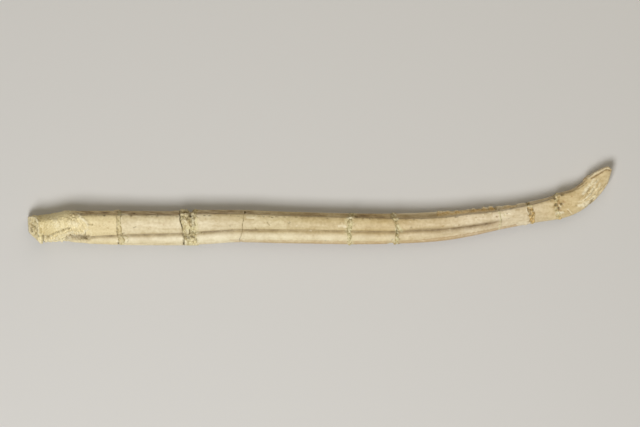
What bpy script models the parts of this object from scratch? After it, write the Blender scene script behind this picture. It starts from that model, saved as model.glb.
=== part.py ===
"""A mended baculum of a large meat-eating mammal, life size, lying on its side.

The bone runs along +X from its broken, spongy base to its upturned tip, and its curve lies in the
plane of the ground. A groove runs along the edge on the +Y side. The bone rests on its far side,
rolled a little, so that the groove turns upwards. It broke into nine lengths in the past. Some of
the breaks close tightly, and the others are filled with a pale putty, which is a piece of its own.

Sizes are in millimetres until the last step, which places the pieces in metres.
"""
import math

import bmesh
import bpy
import numpy as np
from mathutils import Vector

MM = 0.001
NAME = "baculum"
GAP = 0.3           # clearance between two pieces that meet
RING = 54           # corners round one section
NEAR_SHARE = 1.5    # how much closer the corners are on the near side than on the far side
FINE_STEP = 1.4     # spacing of the sections on the base and the tip
PLAIN_STEP = 2.4    # spacing of the sections on the shaft
END_HOLLOW = 0.6    # how far the middle of the broken base is sunk
TIP_DOME = 0.5      # how far the blunt tip swells out past its last section
MIDDLE = 110.0      # a plain place of the shaft

# The axis of the bone from base to tip, seen from above: (along, across).
AXIS = (
    (0.0, 0.2), (33.7, 0.0), (70.0, 0.1), (110.3, 0.0), (148.6, -0.2), (170.8, 1.05), (190.9, 4.0),
    (209.1, 7.3), (218.5, 9.8), (223.2, 12.0), (227.2, 15.1), (230.4, 18.5), (232.9, 21.4),
    (235.0, 23.8),
)

# Each profile below gives a size of the section against the distance along the axis.
# Height of the two rims beside the groove over the axis.
RIM = (
    (0, 4.0), (4, 4.5), (8, 4.9), (12, 5.7), (16, 6.6), (20, 6.7), (26, 7.05), (38, 7.1), (56, 6.9),
    (72, 7.45), (86, 7.4), (104, 6.7), (130, 6.25), (160, 6.0), (176, 5.9), (182, 5.6), (188, 4.9),
    (204, 4.45), (212, 4.75), (217, 5.45), (224, 4.95), (231, 4.75), (236, 3.85), (239, 2.6), (241.4, 1.3),
)
# Depth of the rounded edge opposite the groove under the axis.
KEEL = (
    (0, 6.5), (5, 6.7), (8, 5.95), (13, 5.6), (19, 6.1), (30, 6.85), (46, 7.3), (62, 7.4), (72, 6.95),
    (86, 6.15), (104, 6.5), (130, 6.6), (150, 6.45), (166, 6.3), (180, 5.6), (192, 4.8), (205, 4.55),
    (217, 5.15), (224, 4.7), (230, 4.0), (236, 3.6), (239, 2.4), (241.4, 1.3),
)
# Half the thickness of the section.
SIDE = (
    (0, 4.0), (6, 4.5), (16, 4.9), (30, 4.6), (60, 4.4), (100, 4.3), (150, 4.3), (180, 4.1),
    (196, 3.6), (214, 3.4), (226, 3.0), (234, 2.5), (239, 1.8), (241.4, 1.0),
)
# Roll of the section that turns the groove upwards, in degrees.
ROLL = ((0, 10), (20, 14.5), (130, 15), (150, 18), (168, 21), (188, 20), (205, 14), (218, 9), (241, 6))
# Height of the axis over its straight middle: the swollen base lifts it a little.
HEIGHT = ((0, 0.9), (18, 0.95), (45, 0.2), (100, 0), (150, 0), (182, -0.15), (241, 0.2))
# Depth of the groove, and how sharply it leaves its rims: 2 is soft, 1 is sharp.
GROOVE = ((0, 0), (17, 0), (24, 1.6), (60, 1.8), (150, 2.0), (170, 2.3), (195, 1.7), (216, 0.6), (241, 0.1))
RIM_CURVE = ((0, 2.0), (130, 2.0), (165, 1.2), (195, 1.3), (241, 1.4))
# Place of the furrow between the two rolls of the side, over the axis, and its depth.
FURROW_PLACE = (
    (0, -5.0), (17, -4.2), (30, -2.7), (45, -2.0), (60, -1.7), (72, -1.0), (87, -0.2), (110, -0.2),
    (140, -0.5), (150, -0.7), (158, -0.2), (172, -0.6), (186, -0.7), (194, -0.3), (241, 0),
)
FURROW_DEPTH = ((0, 0), (16, 0), (28, 1.05), (150, 1.0), (180, 0.85), (197, 0), (241, 0))

SQUARENESS = 2.3       # 2 is an ellipse, more is boxier
WEDGE = 0.35           # how much thicker the section is at its rims than in its middle
FAR_FURROW = 0.7       # depth of the far side's furrow beside the near one's
FURROW_STEP = 0.7      # width of the furrow's steep side, towards the groove
FURROW_SLOPE = 2.0     # width of its gentle side

# Swellings and hollows of both sides: (along, over) of two ends, half width, height.
RELIEF = (
    (3.2, 4.6, 4.8, 2.8, 0.8, 0.35), (4.8, 2.8, 4.6, -1.0, 0.8, 0.4),       # lip of the broken base
    (5.0, -2.4, 5.4, -2.6, 1.0, -0.6),                                      # pit beside the lip
    (7.2, -4.9, 12.3, -2.6, 0.9, 0.45), (12.3, -2.6, 18.0, -0.8, 0.9, 0.5),  # ledge of the base
    (20.5, -2.9, 23.0, -3.1, 1.2, -0.6),                                    # hollow under the ledge
    (19.6, 5.6, 24.8, 1.9, 0.9, 0.45),                                      # slanting crest
    (11.0, 2.6, 14.0, 1.6, 1.6, 0.3), (19.0, 2.4, 20.0, 1.2, 1.4, 0.3),     # knots of spongy bone
    (15.2, 6.0, 15.3, 5.6, 0.8, 0.3), (19.4, 6.2, 19.5, 5.8, 0.8, 0.3),     # knots on the upper edge
    (226.5, 4.2, 229.5, 2.6, 0.8, 0.25),                                    # streak on the tip
    (231.5, 4.4, 231.9, 4.2, 0.7, 0.35),                                    # step in the tip's edge
    (224.5, -2.0, 232.0, -0.5, 1.6, -0.25),                                 # worn face of the tip
)
RAGGED_FROM, RAGGED_TO, RAGGED_DEPTH = 163.0, 189.0, 0.35   # broken stretch of the far rim

# A break line gives its distance along the axis at these angles round the section. 0 is the
# groove, 90 the near side, 180 the opposite edge and 270 the far side.
LINE_ANGLES = (0, 30, 60, 90, 120, 180, 270)
TIP_END = (241.2, 241.2, 241.2, 241.2, 241.2, 241.2, 241.2)
# The broken base slants from the far side up to the near one: (angle, along).
BASE_END = (
    (0, 1.2), (12, 3.1), (30, 3.6), (60, 4.4), (90, 4.8), (120, 4.6), (150, 5.2), (180, 5.4), (195, 4.9),
    (210, 4.1), (225, 3.3), (240, 1.8), (255, 0.5), (270, 0.1), (320, 0.1), (348, 0.4),
)
BREAK_3 = (87.9, 87.6, 87.3, 87.0, 85.8, 86.3, 87.2)
BREAK_6 = (191.0, 191.1, 191.4, 191.5, 191.0, 190.1, 191.0)
# The putty fills, from base to tip: start line, end line, how far the putty stands proud.
MENDS = (
    ((36.7, 36.6, 36.7, 36.8, 37.0, 37.1, 36.8), (38.1, 38.1, 38.0, 38.3, 39.8, 38.6, 38.3), 0.10),
    ((61.4, 61.7, 62.1, 63.0, 63.5, 63.1, 62.3), (68.6, 68.4, 68.1, 68.0, 68.4, 68.8, 68.2), 0.30),
    ((129.8, 130.0, 129.5, 129.2, 129.4, 129.6, 129.5),
     (131.8, 131.7, 131.2, 130.9, 130.9, 131.0, 131.0), 0.10),
    ((146.8, 147.2, 148.3, 148.9, 148.6, 147.6, 147.8),
     (148.4, 148.9, 150.0, 150.3, 150.2, 150.2, 149.6), 0.12),
    ((202.3, 202.4, 202.6, 202.9, 202.9, 203.0, 202.7),
     (203.9, 204.2, 204.7, 204.9, 204.6, 204.2, 204.2), 0.05),
    ((214.2, 214.2, 213.6, 213.2, 213.4, 214.0, 213.8),
     (216.6, 216.4, 215.2, 214.8, 215.2, 215.6, 215.4), 0.20),
)

BONE_COLOUR = (0.66, 0.56, 0.38, 1.0)
BASE_COLOUR = (0.62, 0.52, 0.33, 1.0)
PUTTY_COLOUR = (0.52, 0.48, 0.30, 1.0)


def smooth(points, at):
    """Read a smooth curve through points, which doesn't overshoot them, at the given places."""
    x, y = np.array(points, dtype=float).T
    slope = np.diff(y) / np.diff(x)
    before, after = slope[:-1], slope[1:]
    total = np.where(before + after == 0, 1, before + after)
    lean = np.where(before * after > 0, 2 * before * after / total, 0)
    lean = np.concatenate([[slope[0]], lean, [slope[-1]]])
    at = np.clip(at, x[0], x[-1])
    i = np.clip(np.searchsorted(x, at, side="right") - 1, 0, len(x) - 2)
    width = x[i + 1] - x[i]
    t = (at - x[i]) / width
    return (y[i] * (1 + 2 * t) * (1 - t) ** 2 + y[i + 1] * t ** 2 * (3 - 2 * t)
            + width * lean[i] * t * (1 - t) ** 2 - width * lean[i + 1] * t ** 2 * (1 - t))


def natural_spline(knots, values, at):
    """Read the natural cubic spline through values at knots."""
    count = len(knots)
    step = np.diff(knots)
    system, right = np.eye(count), np.zeros(count)
    for i in range(1, count - 1):
        system[i, i - 1:i + 2] = step[i - 1], 2 * (step[i - 1] + step[i]), step[i]
        right[i] = 6 * ((values[i + 1] - values[i]) / step[i] - (values[i] - values[i - 1]) / step[i - 1])
    bend = np.linalg.solve(system, right)
    i = np.clip(np.searchsorted(knots, at) - 1, 0, count - 2)
    left, past, h = knots[i + 1] - at, at - knots[i], step[i]
    return ((bend[i] * left ** 3 + bend[i + 1] * past ** 3) / (6 * h)
            + (values[i] / h - bend[i] * h / 6) * left + (values[i + 1] / h - bend[i + 1] * h / 6) * past)


def axis_table():
    """Trace the axis finely: distance along it, its place, and its heading."""
    points = np.array(AXIS)
    knots = np.concatenate([[0], np.cumsum(np.hypot(*np.diff(points, axis=0).T))])
    at = np.linspace(0, knots[-1], 2001)
    x, y = (natural_spline(knots, points[:, k], at) for k in range(2))
    along = np.concatenate([[0], np.cumsum(np.hypot(np.diff(x), np.diff(y)))])
    heading = np.unwrap(np.arctan2(np.gradient(y, along), np.gradient(x, along)))
    return along, x, y, heading


AXIS_TABLE = axis_table()


def power(value, exponent):
    """Raise the size of value to a power and keep its sign."""
    return np.sign(value) * np.abs(value) ** exponent


def relief(along, over):
    """Add up the swellings and hollows of the side at a place along and over the axis."""
    total = np.zeros_like(along)
    for s1, u1, s2, u2, half_width, height in RELIEF:
        reach = np.array((s2 - s1, u2 - u1))
        share = ((along - s1) * reach[0] + (over - u1) * reach[1]) / max(reach @ reach, 1e-6)
        share = np.clip(share, 0, 1)
        off = np.hypot(along - s1 - share * reach[0], over - u1 - share * reach[1])
        total += height * np.exp(-(off / half_width) ** 2)
    return total


def ragged(along, angle):
    """Bite small notches out of the far rim where it is broken."""
    inside = np.clip(np.minimum(along - RAGGED_FROM, RAGGED_TO - along) / 3, 0, 1)
    at_rim = np.exp(-((np.degrees(angle) - 325) / 18) ** 2)
    wave = 0.5 + 0.3 * np.sin(along * 2.1) + 0.2 * np.sin(along * 4.7 + 1)
    return RAGGED_DEPTH * inside * at_rim * wave


def section(along, angle):
    """Give a point of the outline: over the axis, towards the groove, and out to the near side."""
    sides = 2 / SQUARENESS
    cos, sin = np.cos(angle), np.sin(angle)
    height = np.where(cos > 0, smooth(RIM, along), smooth(KEEL, along))
    level = power(cos, sides)
    over = height * level
    out = smooth(SIDE, along) * power(sin, sides) * (1 + WEDGE * level)
    below = over - smooth(FURROW_PLACE, along)
    dent = np.exp(-(below / np.where(below > 0, FURROW_STEP, FURROW_SLOPE)) ** 2)
    depth = smooth(FURROW_DEPTH, along) * np.where(sin > 0, 1, FAR_FURROW)
    swell = relief(along, over) - depth * dent
    out = out + swell * power(sin, sides)
    over = over + swell * np.clip(level, -1, 1) * 0.6 - ragged(along, angle)
    rim_half = smooth(SIDE, along) * 0.86
    groove = np.clip(1 - (out / rim_half) ** 2, 0, 1) ** smooth(RIM_CURVE, along)
    over = over - np.where(cos > 0, smooth(GROOVE, along) * groove, 0)
    return over, out


def surface(along, angle, proud=0.0):
    """Give the points of the bone's surface at places along the axis and angles round it."""
    table_along, table_x, table_y, table_heading = AXIS_TABLE
    over, out = section(along, angle)
    size = np.hypot(over, out)
    over, out = over * (1 + proud / size), out * (1 + proud / size)
    roll = np.radians(smooth(ROLL, along))
    across = over * np.cos(roll) - out * np.sin(roll)
    up = over * np.sin(roll) + out * np.cos(roll) + smooth(HEIGHT, along)
    heading = np.interp(along, table_along, table_heading)
    past = np.maximum(along - table_along[-1], 0)
    x = np.interp(along, table_along, table_x) - across * np.sin(heading) + past * np.cos(heading)
    y = np.interp(along, table_along, table_y) + across * np.cos(heading) + past * np.sin(heading)
    return np.stack([x, y, up], axis=-1) * MM


def break_line(line, angle):
    """Read a break line, a row of (angle, along), at the angles round the section."""
    turns, places = zip(*line)
    return np.interp(np.degrees(angle), turns + (360,), places + (places[0],))


def even_angles():
    """Give the angles of the corners: evenly spaced on a section of the shaft, closer on the near side."""
    fine = np.linspace(0, 2 * math.pi, 3601)
    over, out = section(np.full(fine.shape, MIDDLE), fine)
    weight = np.where(np.sin(fine[1:]) > 0, NEAR_SHARE, 1)
    run = np.concatenate([[0], np.cumsum(np.hypot(np.diff(over), np.diff(out)) * weight)])
    return np.interp(np.arange(RING) * run[-1] / RING, run, fine)


def putty_lumps(along, angle, proud):
    """Make the putty stand proud of the bone in uneven lumps that die out at its two edges."""
    lumps = 0.6 + 0.5 * np.sin(3 * angle + along) + 0.4 * np.sin(7 * angle - 2.3 * along)
    return proud * np.clip(lumps, -0.3, 1.4)


def loft(name, start, end, step, material, proud=0.0, start_dome=0.0, end_dome=0.0):
    """Build one length of the bone between two lines round it, closed by a cap at each end."""
    angles = even_angles()
    first, last = break_line(start, angles), break_line(end, angles)
    rows = max(2, math.ceil(np.mean(last - first) / step) + 1)
    share = np.linspace(0, 1, rows)[:, None]
    along = first[None, :] * (1 - share) + last[None, :] * share
    angle = np.broadcast_to(angles, along.shape)
    from_edge = np.clip(np.minimum(share, 1 - share) * 4, 0.3, 1)
    points = surface(along, angle, putty_lumps(along, angle, proud) * from_edge)

    model = bmesh.new()
    grid = [[model.verts.new(Vector(point)) for point in row] for row in points]
    for row, below in zip(grid[1:], grid[:-1]):
        for j in range(RING):
            k = (j + 1) % RING
            model.faces.new((below[j], row[j], row[k]))
            model.faces.new((below[j], row[k], below[k]))
    for ring, line, dome, is_start in ((grid[0], first, start_dome, True), (grid[-1], last, end_dome, False)):
        middle = np.array([line.mean() + dome])
        centre = surface(middle, np.zeros(1)) * 0.5 + surface(middle, np.full(1, math.pi)) * 0.5
        hub = model.verts.new(Vector(centre[0]))
        for j in range(RING):
            pair = (ring[j], ring[(j + 1) % RING])
            model.faces.new((hub,) + (pair if is_start else pair[::-1]))
    bmesh.ops.recalc_face_normals(model, faces=model.faces)
    mesh = bpy.data.meshes.new(name)
    model.to_mesh(mesh)
    model.free()
    mesh.shade_smooth()
    mesh.set_sharp_from_angle(angle=math.radians(50))
    mesh.materials.append(material)
    return bpy.data.objects.new(name, mesh)


def shifted(line, by):
    """Turn the places of a break line into (angle, along), moved along the axis."""
    return tuple((angle, place + by) for angle, place in zip(LINE_ANGLES, line))


def new_material(name, colour, roughness):
    """Make a plain non-metal finish."""
    material = bpy.data.materials.new(name)
    material.use_nodes = True
    shader = material.node_tree.nodes["Principled BSDF"]
    shader.inputs["Base Color"].default_value = colour
    shader.inputs["Roughness"].default_value = roughness
    shader.inputs["Metallic"].default_value = 0.0
    material.diffuse_color = colour
    return material


def bone_lengths():
    """List each bone piece: name, start line, end line, section spacing and material name."""
    m1, m2, m3, m4, m5, m6 = MENDS
    return (
        ("base", BASE_END, m1[0], FINE_STEP, "spongy bone"),
        ("shaft_1", m1[1], m2[0], PLAIN_STEP, "compact bone"),
        ("shaft_2", m2[1], BREAK_3, PLAIN_STEP, "compact bone"),
        ("shaft_3", BREAK_3, m3[0], PLAIN_STEP, "compact bone"),
        ("shaft_4", m3[1], m4[0], PLAIN_STEP, "compact bone"),
        ("shaft_5", m4[1], BREAK_6, PLAIN_STEP, "compact bone"),
        ("shaft_6", BREAK_6, m5[0], PLAIN_STEP, "compact bone"),
        ("shaft_7", m5[1], m6[0], FINE_STEP, "compact bone"),
        ("tip", m6[1], TIP_END, FINE_STEP, "compact bone"),
    )


def build():
    """Model all pieces, then set them down on the ground round the origin."""
    for old in list(bpy.data.objects):
        bpy.data.objects.remove(old, do_unlink=True)
    collection = bpy.data.collections.new(NAME)
    bpy.context.scene.collection.children.link(collection)
    materials = {
        "compact bone": new_material("compact bone", BONE_COLOUR, 0.5),
        "spongy bone": new_material("spongy bone", BASE_COLOUR, 0.7),
        "putty": new_material("putty", PUTTY_COLOUR, 0.8),
    }
    pieces = []
    half = GAP / 2
    for name, start, end, step, material in bone_lengths():
        is_base, is_tip = name == "base", name == "tip"
        pieces.append(loft(
            name,
            start if is_base else shifted(start, half),
            shifted(end, 0 if is_tip else -half),
            step,
            materials[material],
            start_dome=END_HOLLOW if is_base else 0.0,
            end_dome=TIP_DOME if is_tip else 0.0,
        ))
    for number, (start, end, proud) in enumerate(MENDS, 1):
        pieces.append(loft(
            f"mend_{number}", shifted(start, half), shifted(end, -half), FINE_STEP / 2,
            materials["putty"], proud=proud,
        ))
    corners = np.array([vertex.co for piece in pieces for vertex in piece.data.vertices])
    low, high = corners.min(axis=0), corners.max(axis=0)
    middle = (low + high) / 2
    for piece in pieces:
        collection.objects.link(piece)
        piece.location = (-middle[0], -middle[1], -low[2])


build()
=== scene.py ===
"""Looks of a mended baculum that lies on its side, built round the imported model.

The bone is one long lofted form. It is cut into nine lengths at its old breaks, with a slice of
putty in the wider ones. Every length is a fine mesh of its own with the named marks of the real
bone worked into it: lips, ledges, pits, cracks and the broken stretch of the groove's far rim.
Geometry Nodes add the grain, the spongy texture and the crumbs of putty.

Sizes are in millimetres, and the meshes are made in metres. "Along" is the distance from the
base, measured on the axis. "Across" is the distance from the axis as seen from above, positive
on the side of the groove. Angles go round the section: 0 is the groove, 90 the side that faces
up, 180 the rounded keel and 270 the side on the ground.
"""
from __future__ import annotations

import logging
import math
from dataclasses import dataclass
from enum import Enum
from typing import Any

import bpy
import numpy as np
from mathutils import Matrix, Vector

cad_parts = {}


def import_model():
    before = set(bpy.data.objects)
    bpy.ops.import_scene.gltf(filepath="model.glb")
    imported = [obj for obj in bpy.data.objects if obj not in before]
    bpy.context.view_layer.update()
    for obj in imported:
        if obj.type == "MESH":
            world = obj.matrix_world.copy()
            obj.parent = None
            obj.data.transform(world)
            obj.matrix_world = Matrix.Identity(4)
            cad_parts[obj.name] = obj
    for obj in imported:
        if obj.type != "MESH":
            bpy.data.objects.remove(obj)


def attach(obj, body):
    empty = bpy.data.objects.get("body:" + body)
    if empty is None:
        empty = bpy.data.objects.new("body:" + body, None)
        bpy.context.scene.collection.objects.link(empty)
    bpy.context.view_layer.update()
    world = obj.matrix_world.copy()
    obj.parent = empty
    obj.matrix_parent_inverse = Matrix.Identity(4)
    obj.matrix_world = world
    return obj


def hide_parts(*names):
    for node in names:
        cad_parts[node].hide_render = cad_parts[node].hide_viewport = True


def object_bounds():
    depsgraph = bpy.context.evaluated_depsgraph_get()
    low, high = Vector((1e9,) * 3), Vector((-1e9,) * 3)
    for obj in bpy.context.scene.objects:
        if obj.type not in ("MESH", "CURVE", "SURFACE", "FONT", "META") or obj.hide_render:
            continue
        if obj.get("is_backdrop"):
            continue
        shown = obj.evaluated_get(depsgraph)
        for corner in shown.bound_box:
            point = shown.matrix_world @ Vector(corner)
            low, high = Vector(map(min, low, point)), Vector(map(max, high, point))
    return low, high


LOG = logging.getLogger("baculum")
MM = 0.001
BODY = "root"
LENGTH = 241.3          # length of the axis
FINE = 0.19             # spacing of the fine mesh
RING = 208              # corners round one section
IMAGE = (640, 427)      # the picture's frame in pixels
MM_PER_PIXEL = 50.0 / 124.0
MIDDLE_PIXEL = (319.4, 206.0)   # where the middle of the bone's box is in the picture
AXIS_START = (-118.024, -8.642, 4.334)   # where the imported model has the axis' start
FULL_TURN = 6.283       # in radians

# Angles round the section, in degrees.
RIM_TOP = 24            # top of the groove's near rim, which hides the groove's side below it
NEAR_RIM = 26           # middle of that rim
KEEL_LIP = 196          # the brown lip of the keel
FAR_RIM = 330           # the groove's far rim
GUESSED_FROM = 180      # the side between these two can't be seen in the photo
GUESSED_TO = 320
FADE = 14               # the seen side turns into the guessed one over so many degrees

Array = np.ndarray
Points = tuple[tuple[float, float], ...]


class Stain(Enum):
    """What a mark does to the colour. The value is the name of the mesh attribute."""

    NONE = "none"
    DIRT_AND_SHADE = "dirt_and_shade"        # dark soil left in a hollow, and painted shade in the furrow, the groove and on the near rim
    PALE = "pale"        # a fresh chip or a rubbed crest, and painted light on the groove's far rim
    PUTTY = "putty"      # greenish grey filler
    AMBER = "amber"      # old glue in the breaks, and warm painted shade in the furrow and on the near rim
    HONEY = "honey"      # spongy bone laid bare inside the broken rim, and painted light on the far rim
    UMBER = "umber"      # reddish brown tone of the keel's lip, and of the groove, where it is partly painted shade
    SPONGY = "spongy"    # rough bone with worm-like struts


class Side(Enum):
    """Which side of the bone a mark is on."""

    UP = 1
    BOTH = 0


def linear(colour: str) -> tuple[float, float, float, float]:
    """Turn an sRGB hex colour into the linear values that a shader takes.

    Args:
        colour: Six hex digits.

    Returns:
        Red, green, blue and an alpha of 1.
    """
    parts = [int(colour[i:i + 2], 16) / 255 for i in (0, 2, 4)]
    light = [p / 12.92 if p <= 0.04045 else ((p + 0.055) / 1.055) ** 2.4 for p in parts]
    return (light[0], light[1], light[2], 1.0)


def add_node(tree: bpy.types.NodeTree, kind: str, inputs: dict[Any, Any] | None = None,
             **settings: Any) -> bpy.types.Node:
    """Add a node with its settings, and link or set its inputs.

    Args:
        tree: The tree that gets the node.
        kind: The node's type name.
        inputs: Input name or number to a socket to link or a value to set.
        **settings: Properties of the node.

    Returns:
        The new node.
    """
    node = tree.nodes.new(kind)
    for key, value in settings.items():
        setattr(node, key, value)
    for key, value in (inputs or {}).items():
        if isinstance(value, bpy.types.NodeSocket):
            tree.links.new(value, node.inputs[key])
        else:
            node.inputs[key].default_value = value
    return node


def noise(at: Array, seed: int, spacing: float) -> Array:
    """Draw a smooth random curve.

    Args:
        at: Places in millimetres.
        seed: Which curve.
        spacing: Distance between its random values.

    Returns:
        Values from -1 to 1.
    """
    values = np.random.default_rng(seed).uniform(-1, 1, 4096)
    place = at / spacing + 1024
    low = np.floor(place).astype(int)
    share = place - low
    share = share * share * (3 - 2 * share)
    return values[low % 4096] * (1 - share) + values[(low + 1) % 4096] * share


class Grain:
    """Smooth random values in space, the same on every run."""

    def __init__(self, seed: int, cells: int = 48) -> None:
        """Draw the values at the corners of a cube of cells, which repeats."""
        self.cells = cells
        self.values = np.random.default_rng(seed).uniform(-1, 1, (cells, cells, cells))

    def read(self, points: Array, spacing: float) -> Array:
        """Read the values.

        Args:
            points: Places in millimetres, with x, y and z last.
            spacing: Size of one cell.

        Returns:
            Values from -1 to 1.
        """
        place = points / spacing
        low = np.floor(place).astype(int)
        share = place - low
        share = share * share * (3 - 2 * share)
        total = np.zeros(points.shape[:-1])
        for corner in range(8):
            step = np.array([(corner >> k) & 1 for k in range(3)])
            weight = np.prod(np.where(step == 1, share, 1 - share), axis=-1)
            i, j, k = np.moveaxis((low + step) % self.cells, -1, 0)
            total += weight * self.values[i, j, k]
        return total

    def rough(self, points: Array, spacing: float, layers: int = 3) -> Array:
        """Add up layers of values, each half as coarse as the one before."""
        return sum(self.read(points, spacing / 2 ** n) / 1.7 ** n for n in range(layers))


@dataclass(frozen=True)
class Profile:
    """A size that changes along the bone, as a smooth curve that doesn't overshoot its points."""

    points: Points

    def read(self, at: Array) -> Array:
        """Read the size.

        Args:
            at: Distances along the axis.

        Returns:
            The size at each distance.
        """
        x, y = np.array(self.points, dtype=float).T
        slope = np.diff(y) / np.diff(x)
        before, after = slope[:-1], slope[1:]
        total = np.where(before + after == 0, 1, before + after)
        lean = np.where(before * after > 0, 2 * before * after / total, 0)
        lean = np.concatenate([[slope[0]], lean, [slope[-1]]])
        at = np.clip(at, x[0], x[-1])
        i = np.clip(np.searchsorted(x, at, side="right") - 1, 0, len(x) - 2)
        width = x[i + 1] - x[i]
        t = (at - x[i]) / width
        return (y[i] * (1 + 2 * t) * (1 - t) ** 2 + y[i + 1] * t ** 2 * (3 - 2 * t)
                + width * lean[i] * t * (1 - t) ** 2 - width * lean[i + 1] * t ** 2 * (1 - t))


@dataclass
class Axis:
    """The line through the middle of the bone, which bends in the plane of the ground."""

    points: Points = (
        (0.0, 0.2), (33.7, 0.0), (70.0, 0.1), (110.3, 0.0), (148.6, -0.2), (170.8, 1.05), (190.9, 4.0),
        (209.1, 7.3), (218.5, 9.8), (223.2, 12.0), (227.2, 15.1), (230.4, 18.5), (232.9, 21.4),
        (235.0, 23.8),
    )

    def __post_init__(self) -> None:
        """Trace the natural cubic spline through the points finely."""
        points = np.array(self.points)
        knots = np.concatenate([[0], np.cumsum(np.hypot(*np.diff(points, axis=0).T))])
        at = np.linspace(0, knots[-1], 2001)
        x, y = (self.spline(knots, points[:, k], at) for k in range(2))
        self.along = np.concatenate([[0], np.cumsum(np.hypot(np.diff(x), np.diff(y)))])
        self.x, self.y = x, y
        self.heading = np.unwrap(np.arctan2(np.gradient(y, self.along), np.gradient(x, self.along)))

    @staticmethod
    def spline(knots: Array, values: Array, at: Array) -> Array:
        """Read the natural cubic spline through values at knots.

        Args:
            knots: Where the values are given.
            values: The values.
            at: Where to read the spline.

        Returns:
            The spline's values.
        """
        count, step = len(knots), np.diff(knots)
        system, right = np.eye(count), np.zeros(count)
        for i in range(1, count - 1):
            system[i, i - 1:i + 2] = step[i - 1], 2 * (step[i - 1] + step[i]), step[i]
            right[i] = 6 * ((values[i + 1] - values[i]) / step[i] - (values[i] - values[i - 1]) / step[i - 1])
        bend = np.linalg.solve(system, right)
        i = np.clip(np.searchsorted(knots, at) - 1, 0, count - 2)
        left, past, h = knots[i + 1] - at, at - knots[i], step[i]
        return ((bend[i] * left ** 3 + bend[i + 1] * past ** 3) / (6 * h)
                + (values[i] / h - bend[i] * h / 6) * left + (values[i + 1] / h - bend[i + 1] * h / 6) * past)


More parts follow.
